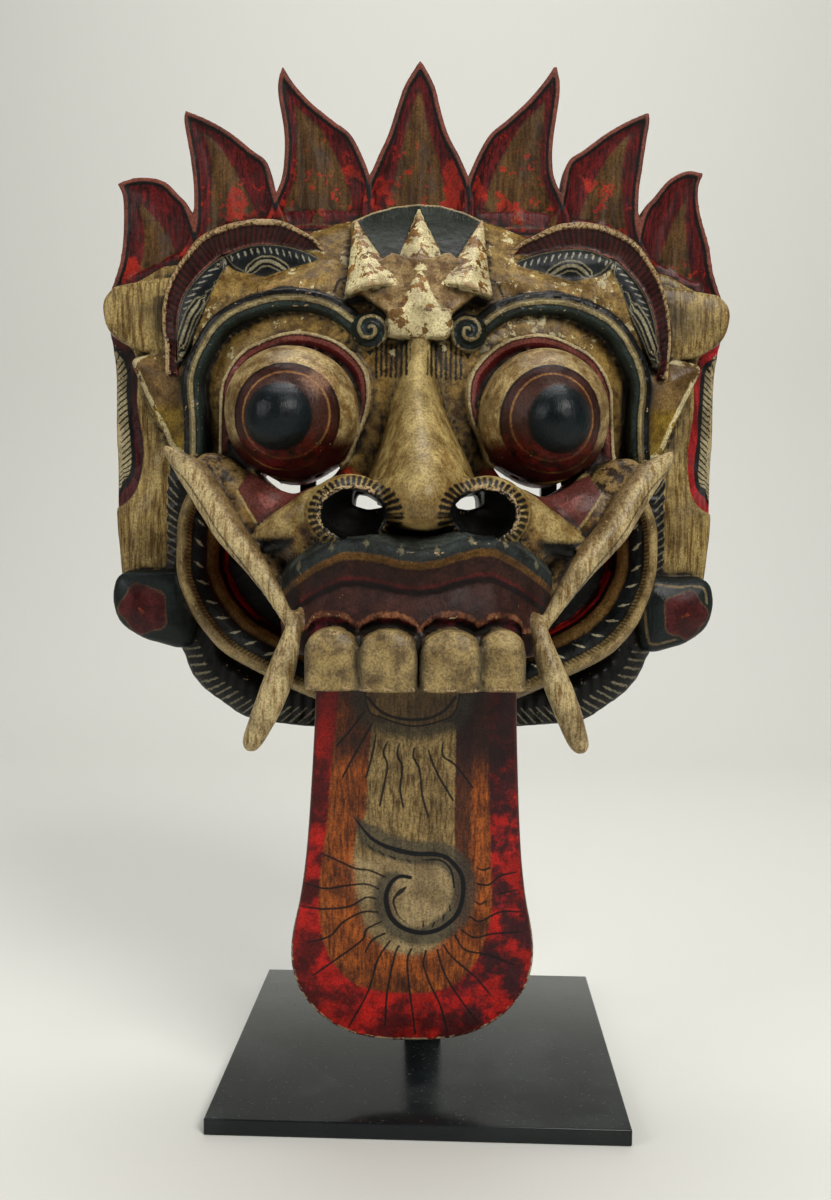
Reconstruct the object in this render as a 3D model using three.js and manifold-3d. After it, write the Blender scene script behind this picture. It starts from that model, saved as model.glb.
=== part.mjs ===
// Carved and painted wooden dragon mask with a hanging tongue, on a black steel stand.
// Millimetres, +Z up, +X to the viewer's right, +Y away from the viewer.
// The origin lies on the table, under the centre of the stand's plate.

import * as THREE from 'three';
import { mergeVertices } from 'three/addons/utils/BufferGeometryUtils.js';
import { ConvexGeometry } from 'three/addons/geometries/ConvexGeometry.js';
import Module from 'manifold-3d';

// Stand
const PLATE_SIZE = 200;
const PLATE_THICKNESS = 8;
const PLATE_BEVEL = 0.8;
const POST_WIDTH = 20;
const POST_SETBACK = 12;
const PRONG_WIDTH = 8.5;
const PRONG_SPACING = 130;
const PEG_LENGTH = 12;
const FIT_GAP = 0.3;

// How the mask hangs on its fork
const MASK_TURN_DEG = 3;
const MASK_SHIFT_X = -7.5;
const TONGUE_TIP_GAP = 24;

// Mask: the carving is laid out in shares of its height, from the crown's tip to the beard
const MASK_HEIGHT = 346;
const MASK_WALL = 14;
const TUNNEL_RADIUS = 7;

// Tongue board
const TONGUE_HANG = 181;
const TONGUE_THICKNESS = 6;
const TONGUE_ROOT = 14;

const wasm = await Module();
wasm.setup();

// One carving unit; the layout below was drawn for a mask 346 units high.
const LAYOUT_HEIGHT = 346;
const unit = MASK_HEIGHT / LAYOUT_HEIGHT;
const wall = MASK_WALL / unit;

// Heights in the layout are counted from the line of the pupils.
const TEETH_EDGE = -125;
const TOOTH_SHOULDER = -104;
const PEG_LEVEL = 88;
const CROSSBAR_LEVEL = -66;

// Depths clear of the carving, behind and before it, for cuts that run right through.
const CLEAR_BACK = -6;
const CLEAR_FRONT = 150;

// Turns a closed three.js geometry into a solid, with shared corners and faces that point out.
function solid(geometry) {
  const plain = geometry.clone();
  for (const name of ['normal', 'uv']) {
    plain.deleteAttribute(name);
  }
  const merged = mergeVertices(plain, 1e-3);
  const corners = [];
  const index = merged.index.array;
  for (let i = 0; i < index.length; i += 3) {
    const [a, b, c] = [index[i], index[i + 1], index[i + 2]];
    if (a !== b && b !== c && c !== a) {
      corners.push(a, b, c);
    }
  }
  const points = merged.attributes.position.array;
  if (signedVolume(points, corners) < 0) {
    corners.reverse();
  }
  return new wasm.Manifold(new wasm.Mesh({
    numProp: 3,
    vertProperties: new Float32Array(points),
    triVerts: new Uint32Array(corners),
  }));
}

function signedVolume(points, corners) {
  const vertex = (i) => new THREE.Vector3().fromArray(points, 3 * i);
  let volume = 0;
  for (let i = 0; i < corners.length; i += 3) {
    const [a, b, c] = [vertex(corners[i]), vertex(corners[i + 1]), vertex(corners[i + 2])];
    volume += a.dot(b.cross(c)) / 6;
  }
  return volume;
}

// Gives a solid back as a three.js geometry, scaled to its real size.
function toGeometry(body, scale) {
  const mesh = body.getMesh();
  const geometry = new THREE.BufferGeometry();
  geometry.setAttribute('position', new THREE.BufferAttribute(Float32Array.from(mesh.vertProperties), 3));
  geometry.setIndex(new THREE.BufferAttribute(Uint32Array.from(mesh.triVerts), 1));
  geometry.scale(scale, scale, scale);
  geometry.computeVertexNormals();
  return geometry;
}

// A point of the layout: x across, forward from the mask's back plane, z above the pupils.
const at = (x, forward, z) => new THREE.Vector3(x, -forward, z);

// A board cut to a front outline (x, z), between two depths.
function board(shape, back, front, options = {}) {
  const geometry = new THREE.ExtrudeGeometry(shape, {
    depth: front - back,
    bevelEnabled: false,
    curveSegments: 8,
    ...options,
  });
  geometry.rotateX(Math.PI / 2);
  geometry.translate(0, -back, 0);
  return solid(geometry);
}

// A block cut to a plan outline (x, forward), between two heights.
function planBlock(points, low, high) {
  const shape = new THREE.Shape(points.map(([x, forward]) => new THREE.Vector2(x, -forward)));
  const geometry = new THREE.ExtrudeGeometry(shape, { depth: high - low, bevelEnabled: false });
  geometry.translate(0, 0, low);
  return solid(geometry);
}

function polygon(points) {
  return new THREE.Shape(points.map(([x, z]) => new THREE.Vector2(x, z)));
}

// A closed outline that runs smoothly through its points.
function smoothOutline(points, steps) {
  const ring = points.map(([x, z]) => new THREE.Vector3(x, z, 0));
  const curve = new THREE.CatmullRomCurve3(ring, true, 'centripetal');
  const spaced = curve.getSpacedPoints(steps).slice(0, steps);
  return new THREE.Shape(spaced.map((p) => new THREE.Vector2(p.x, p.y)));
}

// The right-hand half of a symmetric outline, from the top centre down, closed on the left.
function bothHalves(points) {
  const left = points.filter(([x]) => x > 0).map(([x, z]) => [-x, z]).reverse();
  return [...points, ...left];
}

// A skin over rings of equal count, with a fan over each end.
function loft(rings) {
  const count = rings[0].length;
  const points = rings.flat();
  const corners = [];
  for (let row = 0; row + 1 < rings.length; row += 1) {
    for (let i = 0; i < count; i += 1) {
      const next = (i + 1) % count;
      const a = row * count + i;
      const b = row * count + next;
      corners.push(a, b, a + count, b, b + count, a + count);
    }
  }
  const last = (rings.length - 1) * count;
  for (let i = 1; i + 1 < count; i += 1) {
    corners.push(0, i + 1, i, last, last + i, last + i + 1);
  }
  const geometry = new THREE.BufferGeometry().setFromPoints(points);
  geometry.setIndex(corners);
  return solid(geometry);
}

function smoothPath(points) {
  const places = points.map(([x, forward, z]) => at(x, forward, z));
  return new THREE.CatmullRomCurve3(places, false, 'centripetal');
}

// A carved moulding that follows a path over the face. Its section is given across the path,
// from its left edge to its right edge, as [across, rise] pairs that stand on the path.
function moulding(path, steps, section, girth) {
  const curve = smoothPath(path);
  const rings = [];
  for (let i = 0; i <= steps; i += 1) {
    const along = i / steps;
    const centre = curve.getPointAt(along);
    const tangent = curve.getTangentAt(along);
    const across = new THREE.Vector3(tangent.z, 0, -tangent.x).normalize();
    const size = girth(along);
    rings.push(section.map(([side, rise]) => centre.clone()
      .addScaledVector(across, side * size)
      .add(at(0, rise, 0))));
  }
  return loft(rings);
}

// A horn-like form: round sections, wider across the face than deep where flat is below 1.
function horn(path, steps, radius, flat = 1, sides = 8) {
  const curve = smoothPath(path);
  const rings = [];
  for (let i = 0; i <= steps; i += 1) {
    const along = i / steps;
    const centre = curve.getPointAt(along);
    const tangent = curve.getTangentAt(along);
    const across = new THREE.Vector3(tangent.z, 0, -tangent.x).normalize();
    const outward = new THREE.Vector3().crossVectors(across, tangent).normalize();
    const size = radius(along);
    rings.push(Array.from({ length: sides }, (_, k) => {
      const angle = 2 * Math.PI * k / sides;
      return centre.clone()
        .addScaledVector(across, size * Math.cos(angle))
        .addScaledVector(outward, flat * size * Math.sin(angle));
    }));
  }
  return loft(rings);
}

function ball(centre, radii, segments = 16) {
  const geometry = new THREE.SphereGeometry(1, segments, Math.round(segments * 0.5));
  geometry.scale(...radii);
  geometry.translate(...centre.toArray());
  return solid(geometry);
}

// A bowl-shaped mass that starts at a given depth, elliptic from the front.
function domeMass(radiusX, radiusZ, centreZ, back, rim, rise, segments) {
  const profile = [new THREE.Vector2(0, back), new THREE.Vector2(1, back), new THREE.Vector2(1, rim)];
  const bows = 6;
  for (let i = 1; i <= bows; i += 1) {
    const angle = Math.PI / 2 * i / bows;
    profile.push(new THREE.Vector2(i === bows ? 0 : Math.cos(angle), rim + rise * Math.sin(angle)));
  }
  const geometry = new THREE.LatheGeometry(profile, segments);
  geometry.scale(radiusX, -1, radiusZ);
  geometry.translate(0, 0, centreZ);
  return solid(geometry);
}

const mirrored = (points, side) => points.map(([x, ...rest]) => [side * x, ...rest]);

// A moulding's section seen from the other side, for a path that runs the other way.
const flipped = (section) => section.map(([across, rise]) => [-across, rise]).reverse();

// Adds the same form on both sides of the face.
function pair(make) {
  return make(1).add(make(-1));
}

const join = (bodies) => bodies.reduce((whole, body) => whole.add(body));

// Flat board behind the face, with the beard at its foot.
function faceBoard() {
  const half = [[0, 104], [60, 104], [104, 100], [124, 82], [129, 50], [131, 0], [132, -60], [129, -92],
    [121, -116], [112, -130], [97, -143], [80, -151], [58, -156], [30, -158], [0, -159]];
  return board(smoothOutline(bothHalves(half), 40), 0, 16);
}

// The broad bulge of the face, cut away below the tusks where the mouth stands open.
const FACE = { radiusX: 120, radiusZ: 98, centreZ: 12, rim: 16, rise: 50 };
const MOUTH_FLOOR = 25;
const OPEN_MOUTH = [[135, -8], [116, -24], [98, -42], [82, -62], [60, -95], [40, -95], [40, -180],
  [135, -180]];

function faceMass() {
  const mass = domeMass(FACE.radiusX, FACE.radiusZ, FACE.centreZ, 2, FACE.rim, FACE.rise, 26);
  const openings = pair((side) => board(polygon(mirrored(OPEN_MOUTH, side)), MOUTH_FLOOR, CLEAR_FRONT));
  return mass.subtract(openings);
}

// The hollow that the wearer's face goes into, one wall behind the front.
function hollow() {
  const depth = FACE.rim + FACE.rise - wall;
  return domeMass(FACE.radiusX - wall, FACE.radiusZ - wall, FACE.centreZ, CLEAR_BACK, 1, depth - 1, 18);
}

// Ears: a slab each side, a sunk outer shell, a thick top and a round plug through the lobe.
function ear(side) {
  const slab = [[112, 72], [150, 70], [160, 64], [161, 50], [158, 34], [156, 0], [154, -44], [152, -78],
    [140, -84], [112, -84]];
  const shell = [[170, 50], [152, 42], [146, 28], [146, 8], [140, -14], [142, -32], [154, -42], [170, -44]];
  const top = [[120, 36], [140, 36], [150, 40], [159, 48], [161, 60], [156, 67], [118, 70]];
  const plug = [[114, -80], [134, -76], [150, -78], [155, -88], [152, -102], [144, -109], [130, -113],
    [114, -112]];
  const leaf = [[104, 40], [122, 36], [147, 34], [139, 18], [142, 8], [128, -3], [125, -16], [108, -22],
    [104, 0]];
  return join([
    board(smoothOutline(mirrored(slab, side), 20), 0, 22)
      .subtract(board(smoothOutline(mirrored(shell, side), 14), 17, 60)),
    board(smoothOutline(mirrored(top, side), 12), 10, 30),
    board(smoothOutline(mirrored(plug, side), 14), 6, 36),
    board(polygon(mirrored(leaf, side)), 10, 36),
  ]);
}

// Crown flames, from the centre outwards: tip, and the sides as curves from foot to tip.
const FLAMES = [
  { tip: [0, 189], inner: [[-30, 100], [-29, 122], [-17, 144], [-8, 168]],
    outer: [[30, 100], [29, 122], [17, 144], [8, 168]] },
  { tip: [71, 187], inner: [[22, 98], [24, 126], [35, 149], [58, 168]],
    outer: [[82, 98], [75, 120], [69, 141], [75, 172]] },
  { tip: [119, 163], inner: [[62, 90], [72, 120], [85, 142], [106, 156]],
    outer: [[124, 86], [115, 108], [117, 132], [121, 150]] },
  { tip: [151, 129], inner: [[104, 64], [110, 92], [119, 112], [134, 125]],
    outer: [[156, 66], [154, 84], [150, 98], [151, 116]] },
];
const FLAME_BACK = 4;
const FLAME_FRONT = 20;
const FLAME_DISH = 7;

function flame({ tip, inner, outer }, side) {
  const edge = (points) => new THREE.CatmullRomCurve3(
    [...points, tip].map(([x, z]) => at(side * x, 0, z)), false, 'centripetal');
  const [left, right] = [edge(inner), edge(outer)];
  const rows = 5;
  const fronts = 4;
  const rings = [];
  for (let row = 0; row <= rows; row += 1) {
    const a = left.getPointAt(row / rows);
    const b = right.getPointAt(row / rows);
    const ring = [];
    for (let i = 0; i <= fronts; i += 1) {
      const dish = FLAME_DISH * Math.sin(Math.PI * i / fronts) * (1 - 0.5 * row / rows);
      ring.push(a.clone().lerp(b, i / fronts).add(at(0, FLAME_FRONT - dish, 0)));
    }
    ring.push(b.clone().add(at(0, FLAME_BACK, 0)), a.clone().add(at(0, FLAME_BACK, 0)));
    rings.push(ring);
  }
  return loft(rings);
}

function crown() {
  const base = [[0, 112], [60, 112], [100, 106], [130, 86], [150, 76], [150, 60], [100, 60], [0, 60]];
  const [centre, ...others] = FLAMES;
  return join([
    board(polygon(bothHalves(base)), 2, 17),
    flame(centre, 1),
    ...others.map((one) => pair((side) => flame(one, side))),
  ]);
}

// Arched crests over the brows, with two dark leaves under each.
function browCrest(side) {
  const arch = mirrored([[124, 20, 30], [125, 20, 52], [120, 20, 70], [108, 20, 86], [92, 20, 95],
    [74, 20, 96], [56, 20, 91], [42, 20, 78]], side);
  const rimFirst = [[-7, -8], [-7, 16], [-4, 21], [0, 17], [7, 12], [7, -8]];
  const section = side > 0 ? rimFirst : flipped(rimFirst);
  const upperLeaf = [[44, 79], [56, 87], [76, 91], [94, 86], [100, 80], [90, 74], [76, 70], [60, 71]];
  const sideLeaf = [[98, 82], [110, 76], [119, 62], [122, 46], [120, 30], [111, 44], [103, 62]];
  return join([
    moulding(arch, 14, section, (along) => Math.min(1.1, 0.5 + 4 * Math.min(along, 1 - along))),
    board(smoothOutline(mirrored(upperLeaf, side), 12), 16, 38),
    board(smoothOutline(mirrored(sideLeaf, side), 12), 16, 35),
  ]);
}

// Heavy eyebrow that ends in a curl beside the bridge of the nose.
const CURL = { x: 23, z: 42, radius: 9 };

function eyebrow(side) {
  const path = mirrored([[101, 40, -20], [102, 44, 2], [100, 46, 20], [94, 47, 33], [82, 48, 43],
    [65, 50, 47.5], [48, 52, 45], [36, 54, 39], [27, 56, 35]], side);
  const section = [[-5.5, -6], [-5.5, 6], [-1, 12], [2, 12], [5.5, 6], [5.5, -6]];
  const curl = new THREE.CylinderGeometry(CURL.radius, CURL.radius + 1, 26, 12);
  curl.translate(side * CURL.x, -60, CURL.z);
  const pit = new THREE.CylinderGeometry(CURL.radius * 0.4, CURL.radius * 0.4, 8, 8);
  pit.translate(side * CURL.x, -73, CURL.z);
  return moulding(path, 14, section, () => 1).add(solid(curl)).subtract(solid(pit));
}

// Bulging eye: ball, iris and pupil step forward one out of the other, under a raised lid.
const EYE = { x: 60.5, z: 2 };
const EYE_BALLS = [
  { forward: 68, radius: 32, segments: 14 },
  { forward: 76, radius: 27, segments: 16 },
  { forward: 92, radius: 16, segments: 12 },
];
const LID = { radiusX: 36, radiusZ: 39, forward: 60, drop: 2, girth: 4 };

function eye(side) {
  const balls = EYE_BALLS.map(({ forward, radius, segments }) => (
    ball(at(side * EYE.x, forward, EYE.z), [radius, radius, radius], segments)));
  const path = [];
  for (let degrees = -35; degrees <= 215; degrees += 25) {
    const angle = THREE.MathUtils.degToRad(degrees);
    const x = EYE.x + LID.radiusX * Math.cos(angle);
    path.push([side * x, LID.forward, EYE.z - LID.drop + LID.radiusZ * Math.sin(angle)]);
  }
  const lid = horn(path, 16, (along) => LID.girth + 2 * Math.sin(Math.PI * along), 1.2, 5);
  return join([...balls, lid]);
}

// Crescent slit under the ball, through which the wearer looks out.
function eyeSlit(side) {
  const under = [[82, -19], [76, -28], [67, -35], [58, -37.5], [49, -34], [41, -28], [35, -20], [44, -25],
    [54, -29], [64, -29], [74, -25]];
  return board(polygon(mirrored(under, side)), CLEAR_BACK, CLEAR_FRONT);
}

// Cheek and lower lid beside the nose.
function cheek(side) {
  return ball(at(side * 74, 50, -46), [34, 36, 30], 11)
    .add(ball(at(side * 48, 62, -52), [26, 38, 22], 10));
}

function nose() {
  const rows = [[54, 9, 62], [42, 10, 70], [24, 11, 80], [8, 14, 91], [-8, 19, 106], [-22, 24, 122],
    [-34, 27, 132], [-44, 25, 133], [-52, 17, 126]];
  const arc = 8;
  const rings = rows.map(([z, halfWidth, front]) => Array.from({ length: arc + 1 }, (_, k) => {
    const angle = Math.PI * k / arc;
    return at(halfWidth * Math.cos(angle), 30 + (front - 30) * Math.sin(angle) ** 0.75, z);
  }));
  const wings = pair((side) => ball(at(side * 32, 100, -46), [18.5, 20, 16], 12));
  return loft(rings).add(wings);
}

function nostril(side) {
  const mouth = ball(at(side * 29.5, 120, -48), [13.5, 24, 10], 10);
  const tunnelLength = 110;
  const tunnel = new THREE.CylinderGeometry(TUNNEL_RADIUS / unit, TUNNEL_RADIUS / unit, tunnelLength, 8);
  tunnel.translate(side * 24, -60, -43);
  return mouth.add(solid(tunnel));
}

// Muzzle with its rolled lip, the gum and four flat teeth.
const TEETH = [{ x: -38, width: 22, front: 126 }, { x: -13, width: 24, front: 130 },
  { x: 14.5, width: 24.5, front: 130 }, { x: 37.5, width: 18.5, front: 126 }];

function muzzle() {
  const plan = [[-63, 20], [-63, 78], [-52, 98], [-34, 110], [0, 115], [34, 110], [52, 98], [63, 78],
    [63, 20]];
  const upper = [[-66, 80, -70], [-54, 97, -63], [-34, 112, -57], [-14, 118, -59], [0, 119, -62],
    [14, 118, -59], [34, 112, -57], [54, 97, -63], [66, 80, -70]];
  const lower = [[-62, 80, -78], [-40, 108, -76], [0, 118, -77], [40, 108, -76], [62, 80, -78]];
  return join([
    planBlock(plan, TEETH_EDGE + 13, -58),
    planBlock([[-46, 106], [46, 106], [44, 121], [-44, 121]], TEETH_EDGE + 1, TEETH_EDGE + 16),
    horn(upper, 12, (along) => 4 + 5 * Math.sqrt(Math.sin(Math.PI * along)), 0.9, 7),
    horn(lower, 10, () => 5, 1, 6),
  ]);
}

const TOOTH_BACK = 108;
const TOOTH_BEVEL = 2;

function tooth({ x, width, front }) {
  const half = width / 2 - TOOTH_BEVEL;
  const foot = TEETH_EDGE + TOOTH_BEVEL;
  const arch = new THREE.Shape();
  arch.moveTo(x - half, foot);
  arch.lineTo(x + half, foot);
  arch.lineTo(x + half, TOOTH_SHOULDER);
  arch.absellipse(x, TOOTH_SHOULDER, half, 8, 0, Math.PI, false);
  arch.lineTo(x - half, foot);
  return board(arch, TOOTH_BACK, front - TOOTH_BEVEL, {
    bevelEnabled: true,
    bevelSize: TOOTH_BEVEL,
    bevelThickness: TOOTH_BEVEL,
    bevelSegments: 1,
    curveSegments: 6,
  });
}

// Tusks curl up over the cheeks; shorter fangs hang outside the teeth.
function tusk(side) {
  const path = mirrored([[60, 99, -97], [70, 98, -76], [82, 92, -57], [96, 84, -36], [109, 79, -24],
    [122, 73, -16]], side);
  const girth = (along) => 5.5 + 4.5 * Math.sin(Math.PI * Math.min(1, along ** 2.2)) - 4.8 * along ** 6;
  const lobe = [[98, -18], [106, -22], [92, -48], [78, -64], [64, -84], [56, -74], [70, -50], [84, -24]];
  return horn(path, 10, girth, 0.75, 7)
    .add(board(smoothOutline(mirrored(lobe, side), 14), 30, 82));
}

function fang(side) {
  const path = mirrored([[53, 106, -92], [56, 110, -110], [62, 111, -128], [70, 109, -144], [76, 106, -153]],
    side);
  return horn(path, 8, (along) => 6.8 - 2.6 * along ** 3, 1, 7);
}

// Rolled lower jaw, a wide U that runs behind the tongue, and the hair outside it.
function jaw() {
  const half = [[106, 26, -12], [116, 26, -30], [118, 26, -50], [116, 26, -74], [108, 26, -94],
    [96, 26, -109], [80, 26, -120], [56, 26, -131], [28, 26, -137]];
  const path = [...mirrored(half, -1), [0, 26, -139], ...half.toReversed()];
  const section = [[-11, -14], [-11, 10], [-7, 22], [-2, 25], [3, 21], [10, 10], [10, -14]];
  const hairHalf = [[124, 16, -18], [128, 16, -50], [127, 16, -80], [116, 16, -112], [98, 16, -132],
    [70, 16, -144], [35, 16, -149]];
  const hair = [...mirrored(hairHalf, -1), [0, 16, -150], ...hairHalf.toReversed()];
  const hairSection = [[-9, -8], [-9, 3], [-3, 9], [6, 11], [9, -8]];
  return moulding(path, 24, flipped(section), () => 1)
    .add(moulding(hair, 16, flipped(hairSection), () => 1));
}

// Fan with three pointed rays over the nose, stepped down to the nose's root.
function diadem() {
  const facet = (points) => solid(new ConvexGeometry(points.map(([x, forward, z]) => at(x, forward, z))));
  const fan = facet([[-35, 14, 100], [-20, 14, 109], [0, 14, 112], [20, 14, 109], [37, 14, 100],
    [-35, 34, 100], [-20, 34, 108], [0, 34, 111], [20, 34, 108], [37, 34, 100],
    [-16, 56, 74], [18, 56, 74], [-16, 20, 70], [18, 20, 70]]);
  const ray = (tip, foot, low) => facet([
    [tip, 37, 106 - Math.abs(tip) / 6], [tip, 20, 102], [foot * 0.9, 66, low + 1],
    [foot - 12, 52, low], [foot + 12, 52, low], [foot - 10, 30, low - 4], [foot + 10, 30, low - 4]]);
  const band = facet([[-34, 40, 62], [36, 40, 62], [-20, 48, 78], [20, 48, 78], [-34, 56, 60], [36, 56, 60],
    [-16, 64, 76], [16, 64, 76], [-18, 66, 50], [18, 66, 50], [-18, 30, 50], [18, 30, 50]]);
  const lowerRay = facet([[0, 62, 68], [-16, 60, 47], [16, 60, 47], [0, 78, 50], [-14, 40, 47],
    [14, 40, 47]]);
  const root = facet([[-15, 50, 50], [15, 50, 50], [-15, 72, 49], [15, 72, 49], [-13, 74, 38], [13, 74, 38],
    [-13, 50, 36], [13, 50, 36]]);
  return join([fan, ray(0, 0, 75), ray(-34, -24, 68), ray(35, 25, 68), band, lowerRay, root]);
}

// Slope of the tongue: it comes out behind the teeth and leans back towards the plate.
const TONGUE_FORWARD = 99;
const TONGUE_SLOPE = 0.19;
const ROOT_HALF_WIDTH = 46.5;
const SLOT_SIDE_PLAY = 1;
const tongueTop = TEETH_EDGE + TONGUE_ROOT / unit;
const tongueFront = (z) => TONGUE_FORWARD + (z - TEETH_EDGE) * TONGUE_SLOPE;

// Slot behind the teeth that takes the tongue's root.
function tongueSlot() {
  const gap = FIT_GAP / unit;
  const half = ROOT_HALF_WIDTH + SLOT_SIDE_PLAY + gap;
  const back = TONGUE_THICKNESS / unit;
  const low = TEETH_EDGE - 20;
  const ring = (z) => [[-half, gap], [half, gap], [half, -back - gap], [-half, -back - gap]]
    .map(([x, forward]) => at(x, tongueFront(z) + forward, z));
  return loft([ring(low), ring(tongueTop + gap)]);
}

// Sockets in the back of the crown that take the fork's pegs.
function pegSockets() {
  const half = (PRONG_WIDTH / 2 + FIT_GAP) / unit;
  const deep = (PEG_LENGTH + FIT_GAP) / unit;
  return join([-1, 1].map((side) => {
    const x = (side * PRONG_SPACING / 2 - MASK_SHIFT_X) / unit;
    const plan = [[x - half, CLEAR_BACK], [x + half, CLEAR_BACK], [x + half, deep], [x - half, deep]];
    return planBlock(plan, PEG_LEVEL - half, PEG_LEVEL + half);
  }));
}

function maskGeometry() {
  const mass = join([
    faceBoard(), faceMass(), pair(ear), crown(), pair(browCrest), pair(eyebrow), pair(cheek), diadem(),
    jaw(), muzzle(),
  ]);
  const body = mass
    .subtract(pair(eyeSlit))
    .add(pair(eye))
    .add(nose())
    .add(pair(tusk))
    .add(pair(fang))
    .add(join(TEETH.map(tooth)))
    .subtract(hollow())
    .subtract(pair(nostril))
    .subtract(tongueSlot())
    .subtract(pegSockets());
  return toGeometry(body, unit);
}

// Flat board with a rounded, slightly wider end.
function tongueGeometry() {
  const tip = TONGUE_HANG / unit;
  const profile = [[-0.075, ROOT_HALF_WIDTH], [0.04, ROOT_HALF_WIDTH], [0.25, 48.5], [0.44, 51], [0.57, 54],
    [0.68, 58], [0.75, 59], [0.81, 57.5], [0.87, 53], [0.93, 44], [0.97, 33], [0.99, 22], [1, 10]];
  const widths = new THREE.CatmullRomCurve3(profile.map(([down, half]) => new THREE.Vector3(half, down, 0)));
  const thick = TONGUE_THICKNESS / unit;
  const rows = 28;
  const rings = [];
  for (let row = 0; row <= rows; row += 1) {
    const { x: half, y: down } = widths.getPoint(row / rows);
    const share = (down - profile[0][0]) / (1 - profile[0][0]);
    const z = tongueTop - share * (tongueTop - TEETH_EDGE + tip);
    const chamfer = Math.min(1, half / 2);
    const section = [[-half, -1], [-half + chamfer, 0], [half - chamfer, 0], [half, -1], [half, -thick],
      [-half, -thick]];
    rings.push(section.map(([x, forward]) => at(x, tongueFront(z) + forward, z)));
  }
  return toGeometry(loft(rings), unit);
}

// Steel fork: square post, crossbar and two prongs with pegs that the mask hangs on.
const eyeLevel = PLATE_THICKNESS + TONGUE_TIP_GAP + TONGUE_HANG - TEETH_EDGE * unit;
const pegHeight = eyeLevel + PEG_LEVEL * unit;
const crossbarHeight = eyeLevel + CROSSBAR_LEVEL * unit;
const forkFront = POST_SETBACK - POST_WIDTH / 2;

function bar(width, depth, height, x, y, z) {
  const geometry = new THREE.BoxGeometry(width, depth, height);
  geometry.translate(x, y, z);
  return solid(geometry);
}

function forkGeometry() {
  const postBase = PLATE_THICKNESS + FIT_GAP;
  const postTop = crossbarHeight + PRONG_WIDTH / 2;
  const prongY = forkFront + PRONG_WIDTH / 2;
  const prongTop = pegHeight + PRONG_WIDTH / 2;
  const prongBase = crossbarHeight - PRONG_WIDTH / 2;
  const pieces = [
    bar(POST_WIDTH, POST_WIDTH, postTop - postBase, 0, POST_SETBACK, (postTop + postBase) / 2),
    bar(PRONG_SPACING + PRONG_WIDTH, PRONG_WIDTH, PRONG_WIDTH, 0, prongY, crossbarHeight),
  ];
  const prongMiddle = (prongTop + prongBase) / 2;
  const pegY = prongY - PEG_LENGTH / 2;
  for (const side of [-1, 1]) {
    const x = side * PRONG_SPACING / 2;
    pieces.push(bar(PRONG_WIDTH, PRONG_WIDTH, prongTop - prongBase, x, prongY, prongMiddle));
    pieces.push(bar(PRONG_WIDTH, PRONG_WIDTH + PEG_LENGTH, PRONG_WIDTH, x, pegY, pegHeight));
  }
  return toGeometry(join(pieces), 1);
}

function plateGeometry() {
  const half = PLATE_SIZE / 2 - PLATE_BEVEL;
  const shape = polygon([[-half, -half], [half, -half], [half, half], [-half, half]]);
  const geometry = new THREE.ExtrudeGeometry(shape, {
    depth: PLATE_THICKNESS - 2 * PLATE_BEVEL,
    bevelSize: PLATE_BEVEL,
    bevelThickness: PLATE_BEVEL,
    bevelSegments: 1,
  });
  geometry.translate(0, 0, PLATE_BEVEL);
  return geometry;
}

const paintedWood = new THREE.MeshStandardMaterial({ color: 0x8a6a3c, roughness: 0.5, metalness: 0 });
const tonguePaint = new THREE.MeshStandardMaterial({ color: 0x9a2318, roughness: 0.45, metalness: 0 });
const blackSteel = new THREE.MeshStandardMaterial({ color: 0x14171a, roughness: 0.35, metalness: 0.2 });

function piece(name, geometry, material) {
  const mesh = new THREE.Mesh(geometry, material);
  mesh.name = name;
  return mesh;
}

const model = new THREE.Group();
model.add(piece('stand_plate', plateGeometry(), blackSteel));

// The fork, and the mask on it, are turned a little on the plate.
const fork = new THREE.Group();
fork.rotation.z = THREE.MathUtils.degToRad(MASK_TURN_DEG);
fork.add(piece('stand_fork', forkGeometry(), blackSteel.clone()));
model.add(fork);

const head = new THREE.Group();
head.position.set(MASK_SHIFT_X, forkFront - FIT_GAP, eyeLevel);
head.add(piece('mask', maskGeometry(), paintedWood));
head.add(piece('tongue', tongueGeometry(), tonguePaint));
fork.add(head);

export default model;
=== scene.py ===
import math

import bpy
import numpy as np
from mathutils import Matrix, Vector


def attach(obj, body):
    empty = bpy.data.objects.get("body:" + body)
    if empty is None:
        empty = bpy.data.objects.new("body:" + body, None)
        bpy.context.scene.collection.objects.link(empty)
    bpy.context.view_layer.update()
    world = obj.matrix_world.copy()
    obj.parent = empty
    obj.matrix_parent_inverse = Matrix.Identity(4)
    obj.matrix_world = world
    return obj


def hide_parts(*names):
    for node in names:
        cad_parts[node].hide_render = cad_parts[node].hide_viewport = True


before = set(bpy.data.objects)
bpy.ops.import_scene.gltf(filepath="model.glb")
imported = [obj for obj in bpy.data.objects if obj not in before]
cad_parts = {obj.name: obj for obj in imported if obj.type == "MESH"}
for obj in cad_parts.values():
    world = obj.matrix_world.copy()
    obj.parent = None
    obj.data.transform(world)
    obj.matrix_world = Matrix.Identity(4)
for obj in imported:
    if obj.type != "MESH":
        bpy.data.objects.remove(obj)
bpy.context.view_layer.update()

# Studio: a plain pale table top that rises into a pale wall, with large soft lights above.
# The camera stands level with the muzzle, a little to the right of the mask, as in the photo.
profile = [(-3.0, 0.0), (0.9, 0.0)]
profile += [(0.9 + 0.6 * math.sin(a), 0.6 - 0.6 * math.cos(a)) for a in np.linspace(0.12, math.pi / 2, 12)]
profile += [(1.5, 4.0)]
backdrop_points = [(x, y, z) for y, z in profile for x in (-4.0, 4.0)]
backdrop_faces = [(2 * i, 2 * i + 1, 2 * i + 3, 2 * i + 2) for i in range(len(profile) - 1)]
backdrop_mesh = bpy.data.meshes.new("backdrop")
backdrop_mesh.from_pydata(backdrop_points, [], backdrop_faces)
backdrop_mesh.shade_smooth()
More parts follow.
